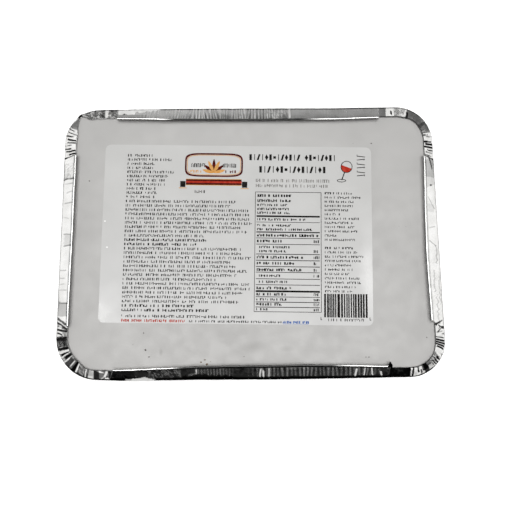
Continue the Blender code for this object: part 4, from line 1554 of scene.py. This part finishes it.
# %% Set the sky
ZENITH_LIGHT = 6.6
SIDE_LIGHT = 1.04
FAR_LOW_LEFT, FAR_LOW_RIGHT = 0.54, 0.29
FAR_HIGH_LIGHT = 0.18
DIAGONAL_LEFT, DIAGONAL_RIGHT = 0.19, 0.12
NEAR_LEFT_LIGHT, NEAR_RIGHT_LIGHT = 0.018, 0.054
NEAR_DARK = 0.002
NEAR_HIGH_LIGHT = 0.18
LOW_DIM, LOW_BRIGHT = 0.10, 0.85
BACKDROP_LIGHT = 0.88
SKY_COLOUR = (1.0, 0.995, 0.985, 1)


def make_sky():
    """Brightness by direction: a bright cap over a ring that differs on its four sides.

    The direction's level part tells left and right, which are white, from far, which is
    grey, and near, which is dark. Its height fades the low ring into the high ring, the
    white sides into the high ring further up, and all of them into the cap. Below the
    level the tray's walls mirror a table with light and dim patches. Seen directly, the
    sky is a plain backdrop.
    """
    world = bpy.data.worlds.new("sky")
    scene.world = world
    world.use_nodes = True

    def step(value, start, end, low, high):
        """Eased from low to high as the value runs from start to end."""
        inputs = {"Value": value, "From Min": start, "From Max": end, "To Min": low, "To Max": high}
        node = add_node(world, "ShaderNodeMapRange", inputs, interpolation_type="SMOOTHSTEP")
        return node.outputs[0]

    direction = add_node(world, "ShaderNodeTexCoord", {}).outputs["Generated"]
    height = add_node(world, "ShaderNodeSeparateXYZ", {0: direction}).outputs["Z"]
    level = calculate(world, "MULTIPLY", direction, (1, 1, 0), vector=True)
    level = calculate(world, "NORMALIZE", level, vector=True)
    right, far = add_node(world, "ShaderNodeSeparateXYZ", {0: level}).outputs[:2]
    sideways = calculate(world, "ABSOLUTE", right)
    far_low = step(right, -0.35, 0.35, FAR_LOW_LEFT, FAR_LOW_RIGHT)
    far_light = step(height, 0.15, 0.35, far_low, FAR_HIGH_LIGHT)
    diagonal = step(right, -0.3, 0.3, DIAGONAL_LEFT, DIAGONAL_RIGHT)
    far_light = step(sideways, 0.40, 0.62, far_light, diagonal)
    near_light = step(right, 0.10, 0.50, NEAR_LEFT_LIGHT, NEAR_RIGHT_LIGHT)
    near_light = step(height, 0.05, 0.18, NEAR_DARK, near_light)
    near_light = step(height, 0.28, 0.46, near_light, NEAR_DARK)
    near_light = step(height, 0.50, 0.70, near_light, NEAR_HIGH_LIGHT)
    ring = step(far, -0.35, 0.35, near_light, far_light)
    white_right = step(right, 0.78, 0.93, 0.0, 1.0)
    white_left = step(right, -0.97, -0.85, 1.0, 0.0)
    white = calculate(world, "ADD", white_left, white_right)
    white = calculate(world, "MULTIPLY", white, step(height, 0.60, 0.72, 1.0, 0.0))
    around = step(white, 0.0, 1.0, ring, SIDE_LIGHT)
    sky = step(height, 0.915, 0.95, around, ZENITH_LIGHT)
    patches = add_node(world, "ShaderNodeTexNoise", {"Vector": direction, "Scale": 3.5})
    below = step(patches.outputs["Fac"], 0.38, 0.62, LOW_DIM, LOW_BRIGHT)
    sky = step(height, -0.30, -0.05, below, sky)
    seen_directly = add_node(world, "ShaderNodeLightPath", {}).outputs["Is Camera Ray"]
    sky = step(seen_directly, 0.0, 1.0, sky, BACKDROP_LIGHT)
    background = world.node_tree.nodes["Background"]
    put(world.node_tree, background.inputs["Strength"], sky)
    put(world.node_tree, background.inputs["Color"], SKY_COLOUR)


make_sky()
scene.view_settings.view_transform = "Standard"

# %% Check the size and finish
visual_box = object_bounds()
boxes = {"cad": [list(corner) for corner in cad_box], "visual": [list(corner) for corner in visual_box]}
for name, box in boxes.items():
    print(name, "box in mm", [[round(value / MM, 1) for value in corner] for corner in box])
